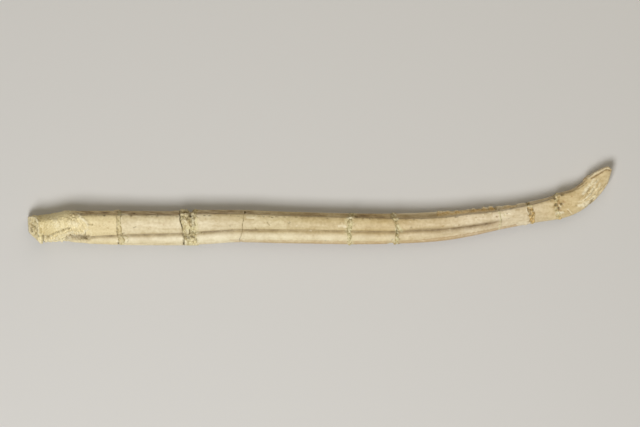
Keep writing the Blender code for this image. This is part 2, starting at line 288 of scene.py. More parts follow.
@dataclass
class BoneForm:
    """The smooth form of the whole bone: its axis and the sizes of its section along it."""

    axis: Axis
    rim: Profile = Profile((
        (0, 4.0), (4, 4.5), (8, 4.9), (12, 5.7), (16, 6.6), (20, 6.7), (26, 7.05), (38, 7.1), (56, 6.9),
        (72, 7.45), (86, 7.4), (104, 6.7), (130, 6.25), (160, 6.0), (176, 5.9), (182, 5.6), (188, 4.9),
        (204, 4.45), (212, 4.75), (217, 5.45), (224, 4.95), (231, 4.75), (236, 3.85), (239, 2.6),
        (241.4, 1.3),
    ))
    keel: Profile = Profile((
        (0, 6.5), (5, 6.7), (8, 5.95), (13, 5.6), (19, 6.1), (30, 6.85), (46, 7.3), (62, 7.4), (72, 6.95),
        (86, 6.15), (104, 6.5), (130, 6.6), (150, 6.45), (166, 6.3), (180, 5.6), (192, 4.8), (205, 4.55),
        (217, 5.15), (224, 4.7), (230, 4.0), (236, 3.6), (239, 2.4), (241.4, 1.3),
    ))
    side: Profile = Profile((
        (0, 4.0), (6, 4.4), (16, 4.8), (30, 4.6), (60, 4.4), (100, 4.3), (150, 4.3), (180, 4.1),
        (196, 3.6), (214, 3.4), (226, 3.0), (234, 2.5), (239, 1.8), (241.4, 1.0),
    ))
    roll: Profile = Profile((
        (0, 10), (20, 14.5), (130, 15), (150, 18), (168, 21), (188, 20), (205, 14), (218, 9), (241, 6),
    ))
    height: Profile = Profile(((0, 0.9), (18, 0.95), (45, 0.2), (100, 0), (150, 0), (182, -0.15), (241, 0.2)))
    groove: Profile = Profile((
        (0, 0), (17, 0), (24, 1.6), (60, 1.8), (150, 2.0), (170, 2.3), (195, 1.7), (216, 0.6), (241, 0.1),
    ))
    # How narrow the groove's floor is: 1 is a plain round one.
    rim_curve: Profile = Profile(((0, 2.0), (130, 2.0), (165, 1.2), (195, 1.3), (241, 1.4)))
    furrow_place: Profile = Profile((
        (0, -5.0), (17, -4.2), (30, -2.9), (45, -2.25), (60, -1.9), (72, -1.1), (87, -0.3), (110, -0.3),
        (140, -0.5), (150, -0.7), (158, -0.2), (172, -0.6), (186, -0.7), (194, -0.3), (241, 0),
    ))
    furrow_depth: Profile = Profile(((0, 0), (16, 0), (28, 1.3), (150, 1.3), (180, 1.1), (197, 0), (241, 0)))
    squareness: float = 2.3         # 2 is an ellipse, more is boxier
    keel_squareness: float = 3.0
    wedge: float = 0.35             # how much thicker the section is towards the groove
    far_furrow: float = 0.7         # depth of the guessed side's furrow as a share of the seen one's
    groove_span: float = 0.86       # share of the thickness that the groove takes up
    # Width of the furrow's steep side, towards the groove.
    furrow_step: Profile = Profile(((0, 0.4), (130, 0.4), (168, 0.95), (241, 0.95)))
    furrow_slope: float = 2.1       # width of its gentle side, towards the keel
    furrow_floor: float = 0.7       # width of its floor
    ground: tuple[float, float, float] = (0.0, 0.0, 0.0)
    middle: float = 110.0       # a plain place of the shaft

    def even_angles(self, count: int) -> Array:
        """Give angles whose corners are evenly spaced round a section of the shaft.

        Args:
            count: How many corners.

        Returns:
            The angles, from 0.
        """
        fine = np.linspace(0, 2 * math.pi, 3601)
        over, out, _, _ = self.section(np.full(fine.shape, self.middle), fine)
        run = np.concatenate([[0], np.cumsum(np.hypot(np.diff(over), np.diff(out)))])
        return np.interp(np.arange(count) * run[-1] / count, run, fine)

    @staticmethod
    def power(value: Array, exponent: float) -> Array:
        """Raise the size of a value to a power and keep its sign."""
        return np.sign(value) * np.abs(value) ** exponent

    def section(self, along: Array, angle: Array) -> tuple[Array, Array, Array, Array]:
        """Work out the plain section.

        Args:
            along: Distances along the axis.
            angle: Angles round the section.

        Returns:
            Over, the height towards the groove, out, the distance to the upper side, the soil and painted
            shade in the furrow, and from 0 to 1 how far a place is down in the groove.
        """
        cos, sin = np.cos(angle), np.sin(angle)
        sides = 2 / np.where(cos > 0, self.squareness, self.keel_squareness)
        level = self.power(cos, sides)
        over = np.where(cos > 0, self.rim.read(along), self.keel.read(along)) * level
        side = self.side.read(along)
        out = side * self.power(sin, sides) * (1 + self.wedge * level)
        below = over - self.furrow_place.read(along)
        step = self.furrow_step.read(along)
        wide = np.exp(-(below / np.where(below > 0, step, self.furrow_slope)) ** 2)
        dent = 0.7 * wide + 0.3 * np.exp(-(below / np.where(below > 0, step, self.furrow_floor)) ** 2)
        depth = self.furrow_depth.read(along)
        out = out - depth * np.where(sin > 0, 1, self.far_furrow) * dent * self.power(sin, sides)
        share = np.clip(1 - (out / (side * self.groove_span)) ** 2, 0, 1) ** self.rim_curve.read(along)
        share = np.where(cos > 0, share, 0)
        groove = self.groove.read(along)
        # The furrow's stain is soil and painted shade: a painted shadow under its steep side, and softer
        # painted shade down its gentle side.
        below = below + 0.15
        soil_and_shade = np.where(below > 0, 0.45 * np.exp(-(below / step) ** 2) + 0.12 * np.exp(-below / 1.3),
                        0.4 * np.exp(below / 0.6) + 0.17 * np.exp(below / 1.8))
        soil_and_shade = soil_and_shade * np.interp(along, (24, 36, 80, 110, 150, 180), (1.6, 1.3, 1.15, 0.8, 1.1, 1.5))
        return over - groove * share, out, soil_and_shade * np.clip(depth / 0.8, 0, 1), share * np.clip(groove, 0, 1)

    def across(self, along: Array, turn: Array, over: Array, out: Array) -> Array:
        """Give the distance from the axis as seen from above, with the hidden side mirrored up.

        Args:
            along: Distances along the axis.
            turn: Angles round the section, in degrees. The groove shows up to its far rim.
            over: Heights towards the groove.
            out: Distances to the upper side.

        Returns:
            Distances from the axis, as the marks state them.
        """
        roll = np.radians(self.roll.read(along))
        hidden = np.clip((GUESSED_TO - turn) / FADE, 0, 1)
        return over * np.cos(roll) - (np.abs(out) * hidden + out * (1 - hidden)) * np.sin(roll)

    def place(self, along: Array, over: Array, out: Array) -> Array:
        """Put points of the section where they are in the room.

        Args:
            along: Distances along the axis.
            over: Heights towards the groove.
            out: Distances to the upper side.

        Returns:
            Points in metres, with x, y and z last.
        """
        roll = np.radians(self.roll.read(along))
        across = over * np.cos(roll) - out * np.sin(roll)
        up = over * np.sin(roll) + out * np.cos(roll) + self.height.read(along)
        heading = np.interp(along, self.axis.along, self.axis.heading)
        past = np.maximum(along - self.axis.along[-1], 0)
        x = np.interp(along, self.axis.along, self.axis.x) - across * np.sin(heading) + past * np.cos(heading)
        y = np.interp(along, self.axis.along, self.axis.y) + across * np.cos(heading) + past * np.sin(heading)
        return (np.stack([x, y, up], axis=-1) + np.array(self.ground)) * MM


@dataclass(frozen=True)
class Mark:
    """One ridge, pit, chip or stain of the surface, along a short path.

    The path is a row of (along, across) places. Height is negative for a pit.
    """

    path: Points
    half_width: float
    height: float
    stain: Stain = Stain.NONE
    strength: float = 1.0
    side: Side = Side.BOTH
    edge: float = 2.0       # 2 fades softly, more has a steeper edge

    def share(self, along: Array, across: Array, width: Array) -> Array:
        """Say how much of the mark is at each place.

        Args:
            along: Distances along the axis.
            across: Distances from the axis as seen from above.
            width: How much wider than stated the mark is at each place.

        Returns:
            Shares from 0 to 1.
        """
        nearest = np.full(along.shape, 1e9)
        ends = self.path if len(self.path) > 1 else self.path * 2
        for (s1, n1), (s2, n2) in zip(ends[:-1], ends[1:]):
            run, rise = s2 - s1, n2 - n1
            t = ((along - s1) * run + (across - n1) * rise) / max(run * run + rise * rise, 1e-6)
            t = np.clip(t, 0, 1)
            nearest = np.minimum(nearest, np.hypot(along - s1 - t * run, across - n1 - t * rise))
        return np.exp(-(nearest / (self.half_width * width)) ** self.edge)

    def reach(self) -> tuple[float, float]:
        """Give the stretch of the axis that the mark can touch."""
        places = [p[0] for p in self.path]
        return min(places) - 3 * self.half_width, max(places) + 3 * self.half_width


GRAINS = (Grain(5), Grain(6), Grain(8))

BASE_MARKS = (
    # Broad swellings and hollows.
    Mark(((3.3, 4.5), (4.8, 1.9), (4.9, -0.6), (4.2, -2.0)), 0.8, 0.3),
    Mark(((5.8, 3.6), (6.6, 0.4), (6.4, -2.6)), 0.9, -0.35),
    Mark(((7.2, -4.9), (12.0, -4.3), (16.0, -2.9), (18.2, -1.7)), 0.8, 0.8, Stain.PALE, 0.2),
    Mark(((16.4, -5.0), (19.0, -4.2), (22.0, -4.5), (24.6, -4.5)), 0.95, -0.9, Stain.DIRT_AND_SHADE, 0.7),
    Mark(((17.2, -4.4), (20.0, -3.9), (24.0, -4.5)), 1.1, 0.0, Stain.AMBER, 0.95),
    Mark(((20.3, 5.6), (21.9, 4.2), (24.2, 2.0)), 0.9, 0.35),
    Mark(((17.6, 5.2), (20.0, 2.6), (21.6, 0.6)), 0.9, -0.12),
    Mark(((11.0, 3.2), (12.6, 0.6)), 1.8, 0.25),
    Mark(((17.0, 2.4), (19.6, 0.4)), 1.5, 0.25),
    # Fine marks on them.
    Mark(((3.1, 4.5), (4.6, 1.9), (4.8, -0.6), (3.9, -2.2)), 0.36, 0.3, Stain.PALE, 0.6),
    Mark(((3.9, -2.8), (5.2, -4.2)), 0.8, -0.7, Stain.PUTTY, 0.8),
    Mark(((4.2, -3.2), (4.9, -4.0)), 0.4, -0.2, Stain.DIRT_AND_SHADE, 0.7),
    Mark(((4.9, -5.4), (6.1, -6.5)), 0.5, 0.3, Stain.PALE, 0.4),
    Mark(((6.75, -4.0), (6.9, -6.4)), 0.32, -1.1, Stain.DIRT_AND_SHADE, 1.0, edge=4.0),
    Mark(((7.1, -5.1), (9.5, -4.7), (12.3, -3.8), (15.1, -2.6), (18.0, -1.4)), 0.4, 0.3, Stain.PALE, 0.5),
    Mark(((7.0, -3.9), (9.2, -3.5), (11.9, -2.4), (14.7, -1.2), (17.4, -0.3)), 0.34, -0.5, Stain.DIRT_AND_SHADE, 0.5),
    Mark(((14.6, -4.7), (16.6, -3.8), (18.6, -2.8)), 0.3, -0.4, Stain.DIRT_AND_SHADE, 0.5),
    Mark(((13.0, -3.6), (16.6, -2.5)), 0.2, -0.2, Stain.DIRT_AND_SHADE, 0.35),
    Mark(((17.8, -3.6), (20.6, -3.8), (23.4, -4.3)), 0.75, -0.8, Stain.DIRT_AND_SHADE, 0.6),
    Mark(((18.6, -4.4), (23.0, -4.6)), 0.9, -0.1, Stain.AMBER, 0.5),
    Mark(((18.4, -1.8), (21.0, -2.6)), 0.5, -0.35, Stain.DIRT_AND_SHADE, 0.3),
    Mark(((18.9, -1.8), (19.8, -3.8)), 0.5, 0.7, Stain.PALE, 0.7),
    Mark(((22.0, -3.2), (24.8, -0.6)), 0.4, 0.4, Stain.PALE, 0.5),
    Mark(((17.9, -2.1), (19.3, -3.1)), 0.22, 0.4, Stain.PALE, 0.5),
    Mark(((19.9, -4.1), (21.7, -1.7)), 0.25, 0.5, Stain.PALE, 0.4),
    Mark(((20.2, 5.8), (21.6, 4.4), (24.0, 2.2), (24.9, 0.8)), 0.45, 0.45, Stain.PALE, 0.6),
    Mark(((18.8, 5.6), (21.0, 3.2), (22.8, 1.5)), 0.55, -0.15),
    Mark(((26.8, 1.1),), 0.26, -0.45, Stain.DIRT_AND_SHADE, 1.0, Side.UP),
    Mark(((24.6, 1.5), (26.6, 1.1)), 0.2, -0.2, Stain.DIRT_AND_SHADE, 0.3),
    Mark(((23.8, -1.2), (24.0, -4.1), (24.9, -4.7)), 0.22, -0.28, Stain.DIRT_AND_SHADE, 0.7),
    Mark(((25.4, -0.8), (26.2, -2.0), (26.2, -3.4), (25.2, -4.4)), 0.3, 0.1, Stain.PALE, 0.25),
    Mark(((14.8, 6.4),), 0.6, 0.2, Stain.PALE, 0.6),
    Mark(((17.1, 6.7),), 0.55, 0.2, Stain.PALE, 0.5),
    Mark(((19.5, 6.8),), 0.55, 0.2, Stain.PALE, 0.5),
    Mark(((16.1, 6.8),), 0.35, -0.35, Stain.DIRT_AND_SHADE, 0.5),
    Mark(((18.3, 6.9),), 0.35, -0.35, Stain.DIRT_AND_SHADE, 0.5),
    Mark(((12.0, 2.9), (12.6, 0.6)), 1.3, 0.15, Stain.PALE, 0.3),
    Mark(((18.6, 2.0), (20.4, 1.0)), 1.0, 0.18, Stain.PALE, 0.35),
)
SHAFT_MARKS = (
    # A thin groove sets off a lip along the keel.
    Mark(((27, -6.5), (36, -6.6), (46, -6.7), (60, -6.7)), 0.16, -0.14, Stain.UMBER, 0.2),
    Mark(((82, -5.2), (96, -5.35), (110, -5.4), (130, -5.6), (150, -5.5), (163, -5.1), (180, -4.5),
          (197, -4.0)), 0.22, -0.12, Stain.UMBER, 1.0),
    Mark(((84, -6.2), (110, -6.3), (150, -6.3), (165, -6.0), (180, -5.2), (197, -4.7)), 0.6, 0.0,
         Stain.UMBER, 0.8),
    # Short slits and pits.
    Mark(((43.2, -0.2), (44.3, 0.3)), 0.16, -0.2, Stain.DIRT_AND_SHADE, 0.55, Side.UP),
    Mark(((45.0, 0.0),), 0.12, -0.1, Stain.DIRT_AND_SHADE, 0.4, Side.UP),
    Mark(((97.0, 2.0), (97.6, 1.1), (98.0, 0.7)), 0.14, -0.2, Stain.DIRT_AND_SHADE, 0.55, Side.UP),
    Mark(((98.4, 1.1),), 0.2, 0.08, Stain.PALE, 0.6, Side.UP),
    Mark(((105.4, 2.0), (105.8, 1.6), (106.2, 2.1)), 0.17, -0.22, Stain.DIRT_AND_SHADE, 0.6, Side.UP),
    Mark(((82.9, -0.8),), 0.2, -0.1, Stain.AMBER, 0.7, Side.UP),
    Mark(((92.3, -0.6), (92.7, -0.9)), 0.16, -0.1, Stain.DIRT_AND_SHADE, 0.6, Side.UP),
    Mark(((88.8, -2.3),), 0.18, -0.05, Stain.AMBER, 0.8, Side.UP),
    Mark(((174.1, -0.5), (174.6, -0.4)), 0.13, -0.1, Stain.UMBER, 1.0, Side.UP),
    Mark(((184.6, 2.2),), 0.28, 0.1, Stain.PALE, 1.0, Side.UP, 4.0),
    Mark(((186.6, 3.0), (187.6, 2.6)), 0.32, 0.12, Stain.PALE, 1.0, Side.UP, 4.0),
    Mark(((187.9, 2.2),), 0.4, -0.1, Stain.AMBER, 0.5, Side.UP),
    Mark(((189.8, 0.4),), 0.38, -0.25, Stain.AMBER, 0.9, Side.UP),
    Mark(((189.8, 0.4),), 0.16, -0.2, Stain.DIRT_AND_SHADE, 0.9, Side.UP),
    Mark(((193.4, 0.9),), 0.2, 0.08, Stain.PALE, 0.8, Side.UP, 4.0),
    Mark(((194.7, 1.0), (195.3, 0.7)), 0.2, 0.08, Stain.PALE, 0.9, Side.UP, 4.0),
    Mark(((192.7, 1.5), (193.2, 0.2)), 0.2, -0.08, Stain.PUTTY, 0.7, Side.UP),
    Mark(((194.4, -1.0),), 0.18, -0.12, Stain.DIRT_AND_SHADE, 0.5, Side.UP),
    Mark(((184, -2.6), (188, -2.4), (190, -2.0)), 0.9, -0.1, Stain.UMBER, 0.25),
)
BREAK_MARKS = (
    # First break: crumbs of putty along it and a ring of them near the keel.
    Mark(((35.9, 6.8), (37.4, 6.9)), 0.4, 0.4, Stain.PALE, 0.4),
    Mark(((36.4, 5.2), (36.4, 1.2), (36.5, -2.0), (36.9, -3.8)), 0.16, -0.14, Stain.DIRT_AND_SHADE, 0.5),
    Mark(((38.4, 5.2), (40.8, 5.1)), 0.22, 0.15, Stain.PALE, 0.6, Side.UP),
    Mark(((37.4, 5.0),), 0.35, 0.2, Stain.PALE, 0.8),
    Mark(((38.3, 3.9),), 0.3, 0.1, Stain.PALE, 0.6),
    Mark(((37.5, -3.2), (39.6, -2.2)), 0.2, -0.15, Stain.DIRT_AND_SHADE, 0.5),
    Mark(((38.0, -3.9), (39.4, -3.6), (40.6, -4.2), (40.8, -5.6), (39.4, -6.0), (38.2, -5.6)), 0.22, 0.2,
         Stain.PUTTY, 0.8),
    Mark(((39.4, -4.7),), 0.5, -0.08, Stain.AMBER, 0.5),
    Mark(((41.1, -5.0), (40.7, -5.9)), 0.16, -0.2, Stain.DIRT_AND_SHADE, 0.8),
    Mark(((36.6, -5.4),), 0.4, 0.2, Stain.PALE, 1.0),
    Mark(((37.0, -6.4), (37.0, -7.2)), 0.25, -0.5, Stain.DIRT_AND_SHADE, 1.0, edge=4.0),
    # Second break: a chip of bone on the left, a deep split, and a bead of putty on the right.
    Mark(((60.0, 6.6), (61.6, 6.8), (63.4, 7.0)), 0.6, 0.35, Stain.PALE, 0.5, edge=4.0),
    Mark(((64.9, 7.0), (66.1, 6.7)), 0.8, -1.0, Stain.DIRT_AND_SHADE, 0.6),
    Mark(((61.8, 6.0), (65.6, 5.6)), 0.14, -0.5, Stain.DIRT_AND_SHADE, 0.9),
    Mark(((62.6, 5.2), (64.6, 5.4), (66.2, 5.0)), 0.35, 0.35, Stain.PALE, 0.5),
    Mark(((62.0, 4.7), (63.4, 4.3), (65.8, 4.3)), 0.14, -0.3, Stain.DIRT_AND_SHADE, 0.7),
    Mark(((65.2, 8.6), (65.6, 6.6), (66.0, 4.8)), 0.45, -1.5, Stain.DIRT_AND_SHADE, 1.0, edge=3.0),
    Mark(((67.0, 7.0), (67.9, 7.1), (70.0, 6.9)), 0.3, 0.2, Stain.PUTTY, 0.5),
    Mark(((67.6, 6.0), (68.3, 4.9), (69.0, 4.1)), 0.17, -0.4, Stain.DIRT_AND_SHADE, 0.9),
    Mark(((67.0, 5.2), (67.2, 3.0), (67.3, 1.2)), 0.45, 0.7, Stain.PALE, 0.9),
    Mark(((66.0, 4.6), (66.2, 2.8), (66.4, 0.6)), 0.3, -0.4, Stain.DIRT_AND_SHADE, 0.55),
    Mark(((63.4, 3.2), (64.4, 2.2)), 0.6, 0.3, Stain.PALE, 0.5),
    Mark(((64.4, -1.0), (65.0, -2.0)), 0.5, 0.3, Stain.PALE, 0.6),
    Mark(((67.0, 0.6), (67.0, -1.8)), 0.6, 0.2, Stain.PUTTY, 0.9),
    Mark(((68.4, 3.4), (68.6, -0.6)), 0.5, 0.1, Stain.PUTTY, 0.7),
    Mark(((65.0, 3.8),), 0.45, -0.5, Stain.DIRT_AND_SHADE, 0.9),
    Mark(((65.4, 2.0), (65.9, 1.1)), 0.45, -0.3, Stain.AMBER, 0.9),
    Mark(((65.9, -0.7), (65.7, -2.4)), 0.22, -0.6, Stain.DIRT_AND_SHADE, 1.0, edge=3.0),
    Mark(((66.9, -1.2), (67.1, -2.4)), 0.2, -0.3, Stain.DIRT_AND_SHADE, 0.6),
    Mark(((64.0, 1.6),), 0.35, 0.12, Stain.PALE, 0.6),
    Mark(((63.0, -3.0), (63.6, -3.7)), 0.42, -0.6, Stain.DIRT_AND_SHADE, 1.0),
    Mark(((64.6, -3.7), (65.6, -4.2)), 0.42, -0.6, Stain.DIRT_AND_SHADE, 1.0),
    Mark(((66.3, -3.7), (67.4, -4.0)), 0.4, -0.6, Stain.DIRT_AND_SHADE, 1.0),
    Mark(((63.6, -4.4), (63.0, -5.4)), 0.3, 0.3, Stain.PALE, 0.6),
    Mark(((63.1, -5.3), (63.2, -6.9)), 0.25, -0.6, Stain.DIRT_AND_SHADE, 1.0, edge=4.0),
    Mark(((64.0, -5.4), (64.2, -7.2)), 0.5, 0.3, Stain.PALE, 0.7),
    Mark(((65.4, -5.0), (67.6, -5.2)), 0.7, 0.3, Stain.PALE, 0.3),
    Mark(((65.0, -7.0), (67.0, -7.4), (68.6, -7.0)), 0.5, 0.35, Stain.PUTTY, 0.6),
    Mark(((67.6, -2.6), (69.2, -2.0)), 0.45, -0.1, Stain.PUTTY, 0.8),
    Mark(((68.6, -4.0), (69.4, -5.6)), 0.6, 0.12, Stain.PUTTY, 0.4),
    Mark(((68.2, -4.6), (68.9, -5.4)), 0.3, -0.4, Stain.DIRT_AND_SHADE, 0.8),
    # Third break: a bare crack with a hole in the groove's wall.
    Mark(((88.6, 6.1),), 0.75, 0.25, Stain.PALE, 0.6),
    Mark(((88.6, 6.1),), 0.34, -0.9, Stain.DIRT_AND_SHADE, 1.0, edge=4.0),
    Mark(((88.9, 4.0), (92.0, 4.1), (92.6, 4.6)), 0.35, 0.12, Stain.PALE, 0.4),
    Mark(((88.2, 3.0), (91.6, 3.2)), 0.2, -0.08, Stain.AMBER, 0.5),
    Mark(((85.9, -4.9),), 0.3, 0.1, Stain.PALE, 0.9),
    Mark(((87.2, -5.2), (87.9, -5.2)), 0.27, 0.15, Stain.PALE, 0.9),
    Mark(((86.2, -5.4), (86.4, -6.3)), 0.3, -0.3, Stain.UMBER, 1.0),
    # Fourth break: a smeared seam of putty with lumps.
    Mark(((130.0, 4.7), (129.6, 3.0), (130.3, 1.0), (129.6, -1.5), (130.2, -4.0), (130.6, -6.2)), 1.0, 0.03,
         Stain.PUTTY, 0.75),
    Mark(((128.4, 3.6), (128.8, 2.2)), 0.6, 0.0, Stain.PUTTY, 0.6),
    Mark(((130.4, 5.9), (131.5, 5.4)), 0.45, 0.3, Stain.PUTTY, 0.8),
    Mark(((129.8, 4.0), (131.2, 4.2)), 0.4, 0.2, Stain.PALE, 0.6),
    Mark(((131.6, 4.9), (132.6, 4.5)), 0.3, -0.5, Stain.DIRT_AND_SHADE, 1.0),
    Mark(((130.4, 3.0),), 0.3, 0.12, Stain.PALE, 0.5),
    Mark(((129.4, -0.9), (129.9, -1.9)), 0.3, -0.15, Stain.DIRT_AND_SHADE, 0.4),
    Mark(((130.2, -1.6),), 0.3, 0.15, Stain.PALE, 0.8),
    Mark(((130.6, -6.0), (129.8, -6.3)), 0.4, 0.2, Stain.PUTTY, 0.8),
    Mark(((126.0, 0.7), (127.4, 1.1), (128.4, 0.5)), 0.45, 0.08, Stain.PALE, 0.5, Side.UP),
    Mark(((127.3, 1.6),), 0.4, 0.06, Stain.PALE, 0.5, Side.UP),
    Mark(((132.0, 0.8), (132.8, 1.8)), 0.14, -0.08, Stain.DIRT_AND_SHADE, 0.35, Side.UP),
    Mark(((136.6, -0.4),), 0.18, -0.1, Stain.AMBER, 0.8, Side.UP),
    # Fifth break: a slanting bead over the groove and a hair crack with putty beside it.
    Mark(((147.0, 6.0), (148.0, 4.9), (149.6, 3.7)), 0.32, 0.3, Stain.PUTTY, 1.0),
    Mark(((147.2, 5.9), (148.2, 4.7), (149.6, 3.8)), 0.28, 0.15, Stain.PALE, 1.0),
    Mark(((148.7, 2.9), (149.1, 1.8)), 0.2, -0.25, Stain.AMBER, 1.0),
    Mark(((149.5, 1.1), (150.5, -0.4), (150.9, -1.2)), 0.5, 0.05, Stain.PUTTY, 0.9),
    Mark(((148.6, -0.2), (148.9, -1.4)), 0.35, 0.06, Stain.PUTTY, 0.7),
    Mark(((149.2, 0.4), (149.3, -1.4), (149.2, -2.6)), 0.15, -0.3, Stain.DIRT_AND_SHADE, 0.9),
    Mark(((148.9, -0.5),), 0.2, 0.12, Stain.PALE, 0.9),
    Mark(((149.0, -3.9),), 0.35, 0.2, Stain.PALE, 0.9),
    Mark(((149.9, -4.6),), 0.45, 0.25, Stain.PUTTY, 0.6),
    Mark(((147.9, -5.2), (149.4, -5.9)), 0.5, 0.3, Stain.PUTTY, 0.9),
    Mark(((147.0, -5.0), (147.6, -4.5)), 0.16, -0.2, Stain.DIRT_AND_SHADE, 0.7),
    Mark(((145.6, -6.1), (147.6, -6.3)), 0.4, -0.4, Stain.PUTTY, 0.6),
    # Sixth break: a thin curved seam.
    Mark(((190.7, 4.2), (191.1, 2.0), (191.3, -0.4), (190.6, -3.2), (190.0, -4.6)), 0.3, -0.02,
         Stain.PUTTY, 0.8),
    Mark(((190.9, 3.3), (191.0, 2.4)), 0.2, 0.05, Stain.PALE, 0.5),
    Mark(((190.3, 4.9), (190.5, 4.2)), 0.6, -1.1, Stain.DIRT_AND_SHADE, 0.6, edge=3.0),
    # Seventh break: an amber oval with pits, and two slits below it.
    Mark(((203.4, 3.0), (203.0, 1.4), (203.4, -0.8)), 0.7, -0.1, Stain.AMBER, 1.0),
    Mark(((202.3, 2.6), (202.2, 1.0), (202.7, -0.6)), 0.25, 0.3, Stain.PALE, 0.6),
    Mark(((202.6, 4.6), (202.9, 3.9)), 0.6, -1.0, Stain.DIRT_AND_SHADE, 0.8, edge=3.0),
    Mark(((203.3, 2.6),), 0.35, 0.3, Stain.PALE, 0.8),
    Mark(((202.7, 1.7),), 0.22, -0.35, Stain.DIRT_AND_SHADE, 0.9),
    Mark(((203.4, 0.8),), 0.42, -0.6, Stain.DIRT_AND_SHADE, 1.0),
    Mark(((203.6, -0.6),), 0.45, -0.65, Stain.DIRT_AND_SHADE, 1.0),
    Mark(((204.5, 0.9), (204.9, -0.9), (203.7, -2.4)), 0.24, -0.5, Stain.DIRT_AND_SHADE, 0.9),
    Mark(((203.2, -2.5), (202.6, -3.6)), 0.22, -0.35, Stain.AMBER, 1.0),
    Mark(((204.3, -2.9), (203.1, -4.1)), 0.22, -0.35, Stain.AMBER, 1.0),
    Mark(((203.7, -3.3),), 0.25, 0.15, Stain.PALE, 0.6),
    Mark(((201.0, -4.4), (200.7, -4.9)), 0.4, 0.35, Stain.PALE, 0.5),
    # Eighth break: loose crumbs from the crest down to a patch of white chips.
    Mark(((215.2, 4.7),), 0.8, 0.4, Stain.PUTTY, 0.5),
    Mark(((213.8, 4.1), (214.6, 3.4)), 0.35, -0.45, Stain.DIRT_AND_SHADE, 0.8),
    Mark(((216.0, 3.9),), 0.35, -0.45, Stain.DIRT_AND_SHADE, 0.9),
    Mark(((217.6, 4.1), (218.4, 4.0)), 0.28, -0.4, Stain.DIRT_AND_SHADE, 0.9),
    Mark(((214.9, 3.9), (216.6, 4.4)), 0.3, 0.35, Stain.PALE, 0.6),
    Mark(((215.5, 2.4), (215.2, 1.2)), 0.5, 0.15, Stain.AMBER, 0.9),
    Mark(((214.3, 0.6),), 0.7, -0.3, Stain.AMBER, 1.0),
    Mark(((214.2, 0.8),), 0.5, -0.6, Stain.DIRT_AND_SHADE, 1.0),
    Mark(((214.6, -0.7),), 0.5, -0.6, Stain.DIRT_AND_SHADE, 1.0),
    Mark(((216.4, 0.6),), 0.5, -0.6, Stain.DIRT_AND_SHADE, 1.0),
    Mark(((215.4, 0.3), (215.9, -0.3)), 0.3, 0.2, Stain.PALE, 0.6),
    Mark(((215.0, -1.4), (215.6, -2.0)), 0.3, 0.0, Stain.AMBER, 0.6),
    Mark(((213.6, -2.5), (214.4, -2.4)), 0.35, 0.15, Stain.PALE, 1.0),
    Mark(((215.4, -2.7), (216.2, -2.9)), 0.35, 0.15, Stain.PALE, 1.0),
    Mark(((215.0, -3.3), (213.6, -3.6)), 0.3, -0.15, Stain.PUTTY, 0.9),
    Mark(((218.4, -2.3), (218.9, -3.4), (219.4, -4.2)), 0.2, 0.15, Stain.PALE, 0.6),
    Mark(((218.0, -2.6), (218.7, -4.0)), 0.16, -0.15, Stain.UMBER, 0.8),
    Mark(((217.6, 1.4), (218.0, 0.8)), 0.3, -0.08, Stain.UMBER, 1.0, Side.UP),
    Mark(((219.2, -0.4),), 0.35, 0.0, Stain.UMBER, 0.5, Side.UP),
)
